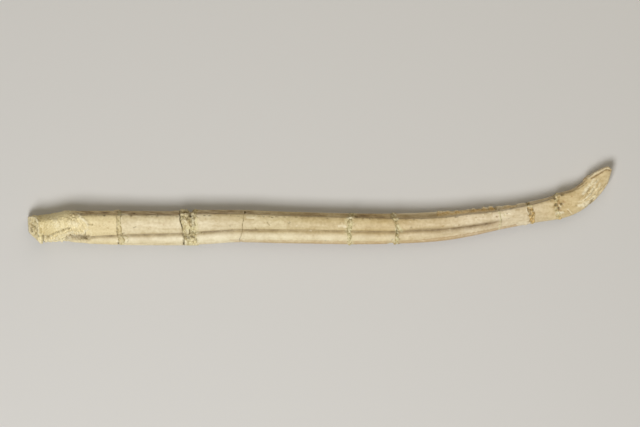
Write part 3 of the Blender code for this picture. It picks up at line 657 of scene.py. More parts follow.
TIP_MARKS = (
    # The lip round the end, and the lines along the crest.
    Mark(((241.0, -0.9), (240.6, 0.3), (239.2, 1.2), (237.4, 1.6), (233.5, 2.9)), 0.22, -0.25,
         Stain.DIRT_AND_SHADE, 0.4),
    Mark(((241.0, -0.9), (240.6, 0.3), (239.2, 1.2), (237.4, 1.6), (233.5, 2.9)), 0.4, 0.0,
         Stain.UMBER, 0.6),
    Mark(((241.6, -0.2), (240.4, 1.2), (238.6, 2.0), (236.0, 3.0), (232.8, 3.9)), 0.35, 0.25,
         Stain.PALE, 0.6),
    Mark(((240.2, 2.0), (238.0, 3.0), (235.0, 3.9), (232.6, 4.5)), 0.3, 0.0, Stain.AMBER, 0.6),
    Mark(((230.9, 3.2), (228.6, 3.4), (225.0, 3.7), (220.0, 4.2)), 0.18, -0.25, Stain.DIRT_AND_SHADE, 0.55),
    Mark(((230.2, 4.0), (226.0, 4.4), (221.0, 4.9)), 0.3, 0.0, Stain.UMBER, 0.8),
    Mark(((230.9, 4.6), (232.4, 4.4)), 0.6, 0.5, Stain.AMBER, 0.5),
    Mark(((229.2, 4.9),), 0.7, -0.3, Stain.UMBER, 0.4),
    # White flakes of the worn face, with dark lines among them.
    Mark(((226.4, 0.9), (228.6, 1.4), (231.2, 1.6)), 0.45, 0.3, Stain.PALE, 1.0),
    Mark(((224.2, -3.4), (225.6, -3.6)), 0.5, 0.25, Stain.PALE, 1.0),
    Mark(((232.0, 1.6), (233.8, 1.9)), 0.4, 0.2, Stain.PALE, 0.9),
    Mark(((227.0, -2.8), (229.4, -2.6)), 0.3, 0.25, Stain.PALE, 0.8),
    Mark(((229.6, -0.6), (231.8, -0.2), (233.6, 0.8)), 0.3, 0.25, Stain.PALE, 0.8),
    Mark(((226.8, -1.4), (228.8, -1.2)), 0.3, 0.25, Stain.PALE, 0.8),
    Mark(((231.6, -1.9), (234.0, -1.0)), 0.35, 0.25, Stain.PALE, 0.7),
    Mark(((224.6, -2.4), (226.4, -2.9)), 0.35, 0.25, Stain.PALE, 0.8),
    Mark(((228.0, 0.2), (230.6, 0.6)), 0.25, -0.2, Stain.DIRT_AND_SHADE, 0.35),
    Mark(((225.6, -1.9), (229.4, -1.9), (231.0, -1.2)), 0.25, -0.2, Stain.DIRT_AND_SHADE, 0.35),
    Mark(((224.6, -4.2), (226.6, -4.1), (228.6, -3.5)), 0.2, -0.3, Stain.DIRT_AND_SHADE, 0.8),
    Mark(((222.8, -2.6), (224.4, -3.0)), 0.45, 0.2, Stain.PALE, 0.9),
    Mark(((223.0, -1.2), (226.0, -1.6), (229.0, -0.6)), 0.2, 0.12, Stain.PALE, 0.4),
    Mark(((233.0, 0.6), (234.6, 0.4)), 0.4, 0.12, Stain.PALE, 0.6),
    Mark(((221.4, 2.4), (221.7, 2.1)), 0.2, -0.06, Stain.UMBER, 1.0, Side.UP),
    Mark(((236.4, -0.2),), 0.2, -0.05, Stain.UMBER, 0.6, Side.UP),
)


def scattered_marks() -> tuple[Mark, ...]:
    """Sow the small pits of the groove's near rim and the specks of the shaft.

    Returns:
        The marks, the same on every run.
    """
    draw = np.random.default_rng(41)
    marks = []
    for _ in range(120):
        along = draw.uniform(22, 200)
        dense = 40 < along < 62
        if not dense and draw.uniform() < 0.35:
            continue
        size = draw.uniform(0.12, 0.36 if dense else 0.24)
        across = float(np.interp(along, (20, 130, 165, 200), (5.0, 4.3, 3.4, 2.9))) + draw.normal(0, 0.25)
        path = ((along, across), (along + draw.uniform(-0.5, 0.9), across + draw.normal(0, 0.1)))
        marks.append(Mark(path, size, -draw.uniform(0.05, 0.2), Stain.DIRT_AND_SHADE, draw.uniform(0.3, 0.8)))
    for _ in range(150):
        along, across = draw.uniform(28, 236), draw.uniform(-5.2, 4.0)
        stain = draw.choice([Stain.DIRT_AND_SHADE, Stain.AMBER, Stain.UMBER, Stain.PALE])
        path = ((along, across), (along + draw.uniform(-0.5, 0.5), across + draw.uniform(-0.2, 0.2)))
        strength = draw.uniform(0.2, 0.6) * (0.6 if stain is Stain.PALE else 1.0)
        marks.append(Mark(path, draw.uniform(0.1, 0.26), draw.uniform(-0.07, 0.02), stain, strength))
    return tuple(marks)


# The stains in the order in which they lie over one another, each with its colour and the most
# that it covers.
# Dirt, amber and umber also carry painted shade, and pale and honey carry painted light.
STAIN_COLOURS = (
    (Stain.UMBER, "AE8A58", 0.7), (Stain.HONEY, "ECC06C", 0.95), (Stain.AMBER, "A07C40", 0.8),
    (Stain.PUTTY, "D8CFA0", 0.8), (Stain.DIRT_AND_SHADE, "4C3A19", 0.88), (Stain.PALE, "F8F0D2", 0.6),
)
GRIT_MM = 0.45          # size of the grit that breaks up the stains and the gloss


@dataclass(frozen=True)
class Finish:
    """A finish of the bone: its colours along the bone and how its surface takes the light."""

    name: str
    tones: tuple[tuple[float, str], ...]
    roughness: float
    rough_spread: float
    grain_mm: float
    grain_bump: float
    mottles: tuple[tuple[float, float, str], ...]   # size in mm, strength, darkest tint
    soil_and_shade: float             # how much the pores are darkened

    def material(self) -> bpy.types.Material:
        """Build the material.

        Returns:
            The finish as a Principled material that reads the stains from the mesh.
        """
        material = bpy.data.materials.new(self.name)
        material.use_nodes = True
        tree = material.node_tree
        tree.nodes.clear()
        place = add_node(tree, "ShaderNodeTexCoord").outputs["Object"]
        along = add_node(tree, "ShaderNodeAttribute", attribute_name="along").outputs["Fac"]
        tone = add_node(tree, "ShaderNodeValToRGB", {"Fac": along})
        ramp = tone.color_ramp
        while len(ramp.elements) < len(self.tones):
            ramp.elements.new(0.5)
        for element, (at, colour) in zip(ramp.elements, self.tones):
            element.position = at
            element.color = linear(colour)
        colour = tone.outputs["Color"]

        # Streaks run along the bone, and the other mottles are round.
        stretched = add_node(tree, "ShaderNodeMapping", {
            "Vector": place, "Scale": (0.16, 1.0, 1.0)}).outputs[0]
        for number, (size_mm, strength, dark) in enumerate(self.mottles):
            cloud = add_node(tree, "ShaderNodeTexNoise", {
                "Vector": stretched if number == 0 else place, "Scale": 1 / (size_mm * MM), "Detail": 3.0})
            span = add_node(tree, "ShaderNodeMapRange", {
                "Value": cloud.outputs[0], "From Min": 0.34, "From Max": 0.62})
            tint = add_node(tree, "ShaderNodeMix", {
                "Factor": span.outputs[0], 6: linear(dark), 7: linear("FFFFFF")}, data_type="RGBA")
            colour = add_node(tree, "ShaderNodeMix", {
                "Factor": strength, 6: colour, 7: tint.outputs[2]},
                data_type="RGBA", blend_type="MULTIPLY").outputs[2]

        # Stains lie over the tone, and grit breaks them up.
        grit = add_node(tree, "ShaderNodeTexNoise", {
            "Vector": place, "Scale": 1 / (GRIT_MM * MM), "Detail": 2.0})
        for stain, hex_colour, most in STAIN_COLOURS:
            amount = add_node(tree, "ShaderNodeAttribute", attribute_name=stain.value).outputs["Fac"]
            broken = add_node(tree, "ShaderNodeMath", {0: grit.outputs[0], 1: 0.9}, operation="MULTIPLY")
            broken = add_node(tree, "ShaderNodeMath", {0: broken.outputs[0], 1: 0.55}, operation="ADD")
            share = add_node(tree, "ShaderNodeMath", {0: amount, 1: broken.outputs[0]}, operation="MULTIPLY")
            share = add_node(tree, "ShaderNodeMath", {0: share.outputs[0], 1: most}, operation="MINIMUM")
            colour = add_node(tree, "ShaderNodeMix", {
                "Factor": share.outputs[0], 6: colour, 7: linear(hex_colour)}, data_type="RGBA").outputs[2]

        # Soil and painted shade darken the bottoms of the pores, and the crests of the struts are rubbed
        # pale, with painted highlight.
        for name, hex_colour, most in (("hollow", "8C7A4E", self.soil_and_shade), ("crest", "FBF1CC", 0.45)):
            amount = add_node(tree, "ShaderNodeAttribute", attribute_name=name).outputs["Fac"]
            share = add_node(tree, "ShaderNodeMath", {0: amount, 1: most}, operation="MULTIPLY").outputs[0]
            colour = add_node(tree, "ShaderNodeMix", {
                "Factor": share, 6: colour, 7: linear(hex_colour)}, data_type="RGBA").outputs[2]

        spread = add_node(tree, "ShaderNodeMapRange", {
            "Value": grit.outputs[0], "To Min": self.roughness - self.rough_spread,
            "To Max": self.roughness + self.rough_spread})
        fine = add_node(tree, "ShaderNodeTexNoise", {
            "Vector": place, "Scale": 1 / (self.grain_mm * MM), "Detail": 4.0, "Roughness": 0.6})
        bump = add_node(tree, "ShaderNodeBump", {
            "Strength": self.grain_bump, "Distance": 0.1 * MM, "Height": fine.outputs[0]})
        shader = add_node(tree, "ShaderNodeBsdfPrincipled", {
            "Base Color": colour, "Roughness": spread.outputs[0], "Normal": bump.outputs[0], "IOR": 1.5})
        add_node(tree, "ShaderNodeOutputMaterial", {"Surface": shader.outputs[0]})
        return material


# Compact bone: weathered and brushed with a clear consolidant, which leaves a soft sheen.
COMPACT_BONE = Finish(
    name="weathered compact bone",
    tones=((0.1, "E9DDB8"), (0.3, "E7DBBA"), (0.42, "DFD1A8"), (0.6, "DAC697"), (0.74, "F0E2C4"),
           (0.83, "ECDFC2"), (0.9, "DDC99A"), (1.0, "F3E1B8")),
    roughness=0.5, rough_spread=0.1, grain_mm=0.5, grain_bump=0.25,
    mottles=((1.2, 0.35, "D2C5A6"), (9.0, 0.5, "DACFB4"), (1.1, 0.35, "CFC2A2")), soil_and_shade=0.2)
# Spongy bone: the rough, porous inside of the base, rubbed pale on its crests.
SPONGY_BONE = Finish(
    name="spongy bone",
    tones=((0.0, "D5C491"), (0.02, "E0D09C"), (0.06, "F0E2B2"), (0.12, "ECDDB0")),
    roughness=0.55, rough_spread=0.12, grain_mm=0.6, grain_bump=0.4,
    mottles=((1.2, 0.2, "D2C5A6"), (6.0, 0.2, "DACFB4"), (0.7, 0.3, "C9BC96")), soil_and_shade=0.2)
# Restorer's putty: a plaster-like filler, toned to the bone, matt and a little greenish.
PUTTY = Finish(
    name="restoration putty",
    tones=((0.0, "F2E7BE"), (0.4, "ECE2B8"), (0.6, "E2D8AC"), (1.0, "E0D0A2")),
    roughness=0.7, rough_spread=0.1, grain_mm=0.35, grain_bump=0.5,
    mottles=((1.6, 0.3, "D8CCA6"), (3.0, 0.5, "CCC49C"), (1.0, 0.75, "A39668")), soil_and_shade=0.6)


@dataclass(frozen=True)
class Texture:
    """Sizes of the fine relief of one kind of surface, in millimetres."""

    grain_size: float
    grain_depth: float
    strut_spacing: float
    strut_height: float
    pore_spacing: float
    pore_depth: float
    stretch: tuple[float, float, float]     # how much closer things are along, across and in height


TEXTURES = {
    "compact_bone": Texture(1.5, 0.1, 1.9, 0.4, 1.6, 0.12, (0.45, 1.2, 1.0)),
    "spongy_bone": Texture(1.6, 0.35, 2.0, 0.3, 1.5, 0.3, (1.6, 0.8, 1.0)),
    "putty": Texture(1.1, 0.6, 1.6, 0.3, 1.4, 0.36, (1.2, 0.9, 1.0)),
}


def keep_inside(tree: bpy.types.NodeTree, geometry: bpy.types.NodeSocket,
                given: bpy.types.NodeOutputs) -> bpy.types.NodeSocket:
    """Add the nodes that hold every point inside a box.

    Args:
        tree: The tree that gets the nodes.
        geometry: What to hold inside.
        given: The tree's inputs, with the box' corners as Lowest and Highest.

    Returns:
        The geometry inside the box.
    """
    place = add_node(tree, "GeometryNodeInputPosition").outputs[0]
    for corner, operation in (("Lowest", "MAXIMUM"), ("Highest", "MINIMUM")):
        place = add_node(tree, "ShaderNodeVectorMath", {
            0: place, 1: given[corner]}, operation=operation).outputs[0]
    return add_node(tree, "GeometryNodeSetPosition", {"Geometry": geometry, "Position": place}).outputs[0]


def relief_tree() -> bpy.types.NodeTree:
    """Build the Geometry Nodes that work grain, struts and pores into a surface.

    Returns:
        The tree. It moves each point along its normal and stores how hollow the place is.
    """
    tree = bpy.data.node_groups.new("fine relief", "GeometryNodeTree")
    faces = tree.interface
    faces.new_socket(name="Geometry", in_out="INPUT", socket_type="NodeSocketGeometry")
    for name in ("Grain size", "Grain depth", "Strut spacing", "Strut height", "Pore spacing", "Pore depth"):
        faces.new_socket(name=name, in_out="INPUT", socket_type="NodeSocketFloat")
    for name in ("Stretch", "Lowest", "Highest"):
        faces.new_socket(name=name, in_out="INPUT", socket_type="NodeSocketVector")
    faces.new_socket(name="Finish", in_out="INPUT", socket_type="NodeSocketMaterial")
    faces.new_socket(name="Geometry", in_out="OUTPUT", socket_type="NodeSocketGeometry")
    given = add_node(tree, "NodeGroupInput").outputs
    place = add_node(tree, "GeometryNodeInputPosition").outputs[0]
    held = {
        name: add_node(tree, "GeometryNodeInputNamedAttribute", {"Name": name}, data_type="FLOAT").outputs[0]
        for name in ("spongy", "free", "along", "across")
    }
    scale = {
        name: add_node(tree, "ShaderNodeMath", {0: 1.0, 1: given[name]}, operation="DIVIDE").outputs[0]
        for name in ("Grain size", "Strut spacing", "Pore spacing")
    }
    grain = add_node(tree, "ShaderNodeTexNoise", {
        "Vector": place, "Scale": scale["Grain size"], "Detail": 3.0, "Roughness": 0.55})

    # The surface is unrolled, so that struts and pores can be longer along the bone or round it.
    unrolled = [
        add_node(tree, "ShaderNodeMath", {0: held[name], 1: LENGTH * MM}, operation="MULTIPLY").outputs[0]
        for name in ("along", "across")
    ]
    unrolled.append(add_node(tree, "ShaderNodeSeparateXYZ", {0: place}).outputs[2])
    unrolled = add_node(tree, "ShaderNodeCombineXYZ", dict(enumerate(unrolled))).outputs[0]
    leaning = add_node(tree, "ShaderNodeVectorMath", {
        0: unrolled, 1: given["Stretch"]}, operation="MULTIPLY").outputs[0]

    # Struts are the thin lines where a bent noise crosses its middle value.
    strut = add_node(tree, "ShaderNodeTexNoise", {
        "Vector": leaning, "Scale": scale["Strut spacing"], "Detail": 1.0, "Distortion": 0.5})
    off = add_node(tree, "ShaderNodeMath", {0: strut.outputs[0], 1: 0.5}, operation="SUBTRACT")
    off = add_node(tree, "ShaderNodeMath", {0: off.outputs[0]}, operation="ABSOLUTE")
    crest = add_node(tree, "ShaderNodeMapRange", {
        "Value": off.outputs[0], "From Min": 0.0, "From Max": 0.13, "To Min": 1.0, "To Max": 0.0},
        interpolation_type="SMOOTHSTEP")

    # Pores are the far corners of bent cells.
    bent = add_node(tree, "ShaderNodeTexNoise", {"Vector": place, "Scale": 1 / (1.1 * MM), "Detail": 1.0})
    bent = add_node(tree, "ShaderNodeVectorMath", {0: bent.outputs[1], "Scale": 0.9 * MM}, operation="SCALE")
    bent = add_node(tree, "ShaderNodeVectorMath", {0: leaning, 1: bent.outputs[0]}, operation="ADD")
    cell = add_node(tree, "ShaderNodeTexVoronoi", {
        "Vector": bent.outputs[0], "Scale": scale["Pore spacing"], "Randomness": 1.0})
    pore = add_node(tree, "ShaderNodeMapRange", {
        "Value": cell.outputs["Distance"], "From Min": 0.28, "From Max": 0.66},
        interpolation_type="SMOOTHSTEP")

    # Each step is named, and takes two values: a number, a socket or the name of an earlier step.
    value = {"grain": grain.outputs[0], "crest": crest.outputs[0], "pore": pore.outputs[0], **held}
    for name, operation, *two in (
            ("plain", "SUBTRACT", "grain", 0.5),
            ("plain", "MULTIPLY", "plain", given["Grain depth"]),
            ("clear", "MULTIPLY", "crest", 0.6),
            ("clear", "SUBTRACT", 1.0, "clear"),
            ("pore", "MULTIPLY", "pore", "clear"),
            ("struts", "SUBTRACT", "crest", 0.4),
            ("struts", "MULTIPLY", "struts", given["Strut height"]),
            ("pores", "SUBTRACT", 0.4, "pore"),
            ("pores", "MULTIPLY", "pores", given["Pore depth"]),
            ("rough", "ADD", "struts", "pores"),
            ("rough", "MULTIPLY", "rough", "spongy"),
            ("total", "ADD", "plain", "rough"),
            ("total", "MULTIPLY", "total", "free"),
            # Crests and the bone away from the pores get pale wear and painted highlight, and the pores get
            # soil and painted shade.
            ("rubbed", "MULTIPLY", "crest", 0.7),
            ("bare", "MULTIPLY", "pore", 3.0),
            ("bare", "SUBTRACT", 1.0, "bare"),
            ("rubbed", "MAXIMUM", "rubbed", "bare"),
            ("rubbed", "MULTIPLY", "rubbed", "spongy"),
            ("hollow", "MULTIPLY", "pore", "spongy"),
    ):
        taken = {place: value[one] if isinstance(one, str) else one for place, one in enumerate(two)}
        value[name] = add_node(tree, "ShaderNodeMath", taken, operation=operation).outputs[0]
    normal = add_node(tree, "GeometryNodeInputNormal").outputs[0]
    offset = add_node(tree, "ShaderNodeVectorMath", {
        0: normal, "Scale": value["total"]}, operation="SCALE").outputs[0]
    stored = given["Geometry"]
    for name, amount in (("hollow", value["hollow"]), ("crest", value["rubbed"])):
        stored = add_node(tree, "GeometryNodeStoreNamedAttribute", {
            "Geometry": stored, "Name": name, "Value": amount}, data_type="FLOAT", domain="POINT").outputs[0]
    moved = add_node(tree, "GeometryNodeSetPosition", {"Geometry": stored, "Offset": offset})
    real = add_node(tree, "GeometryNodeRealizeInstances", {
        "Geometry": keep_inside(tree, moved.outputs[0], given)})
    done = add_node(tree, "GeometryNodeSetMaterial", {
        "Geometry": real.outputs[0], "Material": given["Finish"]})
    add_node(tree, "NodeGroupOutput", {"Geometry": done.outputs[0]})
    return tree


def crumb_tree() -> bpy.types.NodeTree:
    """Build the Geometry Nodes that scatter crumbs of putty over the marked places of a surface.

    Returns:
        The tree. It gives only the crumbs, each a small squashed lump sunk in the surface.
    """
    tree = bpy.data.node_groups.new("putty crumbs", "GeometryNodeTree")
    faces = tree.interface
    faces.new_socket(name="Geometry", in_out="INPUT", socket_type="NodeSocketGeometry")
    for name in ("Density", "Smallest", "Largest"):
        faces.new_socket(name=name, in_out="INPUT", socket_type="NodeSocketFloat")
    for name in ("Lowest", "Highest"):
        faces.new_socket(name=name, in_out="INPUT", socket_type="NodeSocketVector")
    faces.new_socket(name="Seed", in_out="INPUT", socket_type="NodeSocketInt")
    faces.new_socket(name="Finish", in_out="INPUT", socket_type="NodeSocketMaterial")
    faces.new_socket(name="Geometry", in_out="OUTPUT", socket_type="NodeSocketGeometry")
    given = add_node(tree, "NodeGroupInput").outputs
    crumb = add_node(tree, "GeometryNodeInputNamedAttribute", {"Name": "crumb"}, data_type="FLOAT").outputs[0]
    density = add_node(tree, "ShaderNodeMath", {
        0: crumb, 1: given["Density"]}, operation="MULTIPLY").outputs[0]
    dots = add_node(tree, "GeometryNodeDistributePointsOnFaces", {
        "Mesh": given["Geometry"], "Density": density, "Seed": given["Seed"]})
    lump = add_node(tree, "GeometryNodeMeshIcoSphere", {"Radius": 1.0, "Subdivisions": 2})
    size = add_node(tree, "FunctionNodeRandomValue", {
        2: given["Smallest"], 3: given["Largest"], "Seed": given["Seed"]}, data_type="FLOAT").outputs[1]
    squash = add_node(tree, "FunctionNodeRandomValue", {
        0: (0.7, 0.7, 0.35), 1: (1.4, 1.0, 0.7), "Seed": given["Seed"]}, data_type="FLOAT_VECTOR").outputs[0]
    scale = add_node(tree, "ShaderNodeVectorMath", {0: squash, "Scale": size}, operation="SCALE").outputs[0]
    lumps = add_node(tree, "GeometryNodeInstanceOnPoints", {
        "Points": dots.outputs["Points"], "Instance": lump.outputs[0], "Rotation": dots.outputs["Rotation"],
        "Scale": scale})
    spin = add_node(tree, "FunctionNodeRandomValue", {
        2: 0.0, 3: FULL_TURN, "Seed": given["Seed"]}, data_type="FLOAT").outputs[1]
    turn = add_node(tree, "ShaderNodeCombineXYZ", {"Z": spin}).outputs[0]
    turned = add_node(tree, "GeometryNodeRotateInstances", {"Instances": lumps.outputs[0], "Rotation": turn})
    real = add_node(tree, "GeometryNodeRealizeInstances", {"Geometry": turned.outputs[0]})
    place = add_node(tree, "GeometryNodeInputPosition").outputs[0]
    rough = add_node(tree, "ShaderNodeTexNoise", {"Vector": place, "Scale": 1 / (0.22 * MM), "Detail": 1.0})
    push = add_node(tree, "ShaderNodeVectorMath", {
        0: rough.outputs[1], 1: (0.5, 0.5, 0.5)}, operation="SUBTRACT")
    push = add_node(tree, "ShaderNodeVectorMath", {
        0: push.outputs[0], "Scale": 0.35 * MM}, operation="SCALE")
    uneven = add_node(tree, "GeometryNodeSetPosition", {
        "Geometry": real.outputs[0], "Offset": push.outputs[0]})
    done = add_node(tree, "GeometryNodeSetMaterial", {
        "Geometry": keep_inside(tree, uneven.outputs[0], given), "Material": given["Finish"]})
    add_node(tree, "NodeGroupOutput", {"Geometry": done.outputs[0]})
    return tree


def grow(name: str, mesh: bpy.types.Mesh, tree: bpy.types.NodeTree,
         inputs: dict[str, Any]) -> bpy.types.Object:
    """Run a Geometry Nodes tree on a mesh and keep the result as a plain mesh.

    Args:
        name: Name of the finished object.
        mesh: The mesh that the tree starts from. It is used up.
        tree: The tree.
        inputs: Input name to value.

    Returns:
        The finished object, linked to the scene, at the origin, with no modifier.
    """
    rough = bpy.data.objects.new(name + " rough", mesh)
    bpy.context.scene.collection.objects.link(rough)
    modifier = rough.modifiers.new("nodes", "NODES")
    modifier.node_group = tree
    for socket in tree.interface.items_tree:
        if socket.in_out == "INPUT" and socket.name in inputs:
            modifier[socket.identifier] = inputs[socket.name]
    rough.update_tag()
    graph = bpy.context.evaluated_depsgraph_get()
    finished = bpy.data.meshes.new_from_object(rough.evaluated_get(graph), depsgraph=graph)
    finished.name = name
    bpy.data.objects.remove(rough, do_unlink=True)
    bpy.data.meshes.remove(mesh)
    piece = bpy.data.objects.new(name, finished)
    bpy.context.scene.collection.objects.link(piece)
    finished.shade_smooth()
    return piece


@dataclass(frozen=True)
class BreakLine:
    """A line round the bone where a length ends.

    The places are distances along the axis at the angles of turns, in degrees.
    """

    places: tuple[float, ...]
    gap: float = 0.06       # width of the crack where it is widest
    raggedness: float = 0.12
    seed: int = 1
    turns: tuple[float, ...] = (0, 30, 60, 90, 120, 180, 270)

    def wobble(self, angle: Array, shift: int, spacing: float) -> Array:
        """Draw a smooth random curve round the bone that closes on itself."""
        fade = np.clip(np.minimum(angle, 2 * math.pi - angle) / 0.3, 0, 1)
        return fade * noise(angle * 5.0, self.seed + shift, spacing)

    def read(self, angle: Array) -> Array:
        """Give the line's distances along the axis at angles round the section."""
        line = np.interp(np.degrees(angle), self.turns + (360,), self.places + (self.places[0],))
        return line + self.raggedness * (0.8 * self.wobble(angle, 0, 1.3) + 0.5 * self.wobble(angle, 50, 0.4))

    def opening(self, angle: Array) -> Array:
        """Give the width of the crack, which closes here and there."""
        share = 0.6 + 0.6 * self.wobble(angle, 90, 2.2) + 0.3 * self.wobble(angle, 70, 0.6)
        return self.gap * np.clip(share, 0.2, 1)


# The broken base slants from the far side up to the near one.
BASE_END = BreakLine(
    (1.2, 3.1, 3.6, 4.4, 4.8, 4.6, 5.2, 5.4, 4.9, 4.1, 3.3, 1.8, 0.5, 0.1, 0.1, 0.4), 0.0, 0.12, 3,
    (0, 12, 30, 60, 90, 120, 150, 180, 195, 210, 225, 240, 255, 270, 320, 348))
TIP_END = BreakLine((241.2,) * 7, 0.0, 0.0, 4)
CRACK_3 = BreakLine((87.9, 87.6, 87.3, 87.0, 85.8, 86.3, 87.2), 0.17, 0.25, 7)
CRACK_6 = BreakLine((191.0, 191.1, 191.4, 191.5, 191.0, 190.1, 191.0), 0.05, 0.15, 9)
MEND_LINES = (
    (BreakLine((36.7, 36.6, 36.7, 36.8, 37.0, 37.1, 36.8), 0.12, 0.25, 11),
     BreakLine((38.1, 38.1, 38.0, 38.3, 39.8, 38.6, 38.3), 0.08, 0.35, 12)),
    (BreakLine((61.4, 61.7, 62.1, 63.0, 63.5, 63.1, 62.3), 0.21, 0.2, 13),
     BreakLine((68.6, 68.4, 68.1, 68.0, 68.4, 68.8, 68.2), 0.04, 0.5, 14)),
    (BreakLine((129.8, 130.0, 129.5, 129.2, 129.4, 129.6, 129.5), 0.04, 0.4, 15),
     BreakLine((131.8, 131.7, 131.2, 130.9, 130.9, 131.0, 131.0), 0.04, 0.5, 16)),
    (BreakLine((146.8, 147.2, 148.3, 148.9, 148.6, 147.6, 147.8), 0.14, 0.25, 17),
     BreakLine((148.4, 148.9, 150.0, 150.3, 150.2, 150.2, 149.6), 0.04, 0.5, 18)),
    (BreakLine((202.3, 202.4, 202.6, 202.9, 202.9, 203.0, 202.7), 0.06, 0.4, 19),
     BreakLine((203.9, 204.2, 204.7, 204.9, 204.6, 204.2, 204.2), 0.06, 0.4, 20)),
    (BreakLine((214.2, 214.2, 213.6, 213.2, 213.4, 214.0, 213.8), 0.06, 0.5, 21),
     BreakLine((216.6, 216.4, 215.2, 214.8, 215.2, 215.6, 215.4), 0.06, 0.5, 22)),
)
# How far each putty fill stands proud of the bone, and how amber its putty is.
MEND_BODIES = ((0.18, 0.1), (0.42, 0.1), (0.16, 0.0), (0.2, 0.1), (0.18, 0.7), (0.24, 0.4))

# Stretches along the bone: places on the axis, and the amount at each.
# Soil and painted shade in the groove.
GROOVE_SOIL_AND_SHADE = ((40, 62, 80, 100, 128, 134, 146, 152, 175),
               (0.85, 0.9, 0.75, 0.55, 0.55, 0.95, 0.95, 0.3, 0.2))
# Painted shadow just inside the near rim.
NEAR_RIM_SHADOW = ((22, 32, 80, 115, 134, 150, 168, 178, 204, 213),
                 (0, 0.65, 0.6, 0.45, 1, 1, 0.95, 0.55, 0.65, 0))
# Painted light on the groove's far rim.
FAR_RIM_LIGHT = ((95, 122, 132, 147, 153, 212), (0, 0.5, 0.1, 0.1, 1, 0.9))
RUBBED = ((38, 60, 120, 165), (0.25, 0.45, 0.5, 0.1))
RUBBED_PLACE = ((50, 90), (-5.2, -4.4))     # how far across it is
# The ragged stretches of the far rim: first and last place, and how ragged.
RAGGED = ((165.5, 190.0, 1.0), (192.0, 199.0, 0.7))
# Where the spongy base ends: places across, and the place along at each.
BASE_CREST = ((-5, 0.8, 6.6), (25.5, 24.5, 19.5))
DEEP_PIT = -0.8         # marks that are deeper keep their depth on the upright face


class Stains(dict[str, Array]):
    """The amount of each stain at every place of a grid, under the name of its mesh attribute."""

    def deepen(self, name: str, amount: Array | float) -> None:
        """Bring a stain up to an amount where there is less of it."""
        self[name] = np.maximum(self[name], amount)


@dataclass
class Skin:
    """The plain side of a piece, in rows that run round the section, before its marks and stains."""

    form: BoneForm
    along: Array
    angle: Array

    def __post_init__(self) -> None:
        """Work out where each place is, and which side of the bone it is on."""
        self.over, self.out, self.soil_and_shade, self.groove = self.form.section(self.along, self.angle)
        self.points = self.form.place(self.along, self.over, self.out) / MM
        self.turn = np.degrees(self.angle)
        self.from_top = np.where(self.turn < 180, self.turn, self.turn - 360)
        self.from_near_rim = self.from_top - NEAR_RIM
        self.upper = np.sin(self.angle) >= 0
        self.beneath = (np.clip((GUESSED_TO - self.turn) / FADE, 0, 1)
                        * np.clip((self.turn - GUESSED_FROM) / FADE, 0, 1))

        # Nothing on the bone runs quite straight.
        bend, sway, _ = GRAINS
        self.across = self.form.across(self.along, self.turn, self.over, self.out)
        self.across = self.across + 0.14 * sway.rough(self.points, 1.2)
        self.across = self.across + self.beneath * bend.rough(self.points + 11, 2.2)

    def streaks(self) -> Array:
        """Draw the slanting streaks that soil leaves in the groove.

        Returns:
            Values about 0, mostly from -1 to 1.
        """
        points = self.points.copy()
        points[..., 0] += points[..., 1]
        return GRAINS[0].rough(points * (0.35, 1.6, 1.6), 1.2)


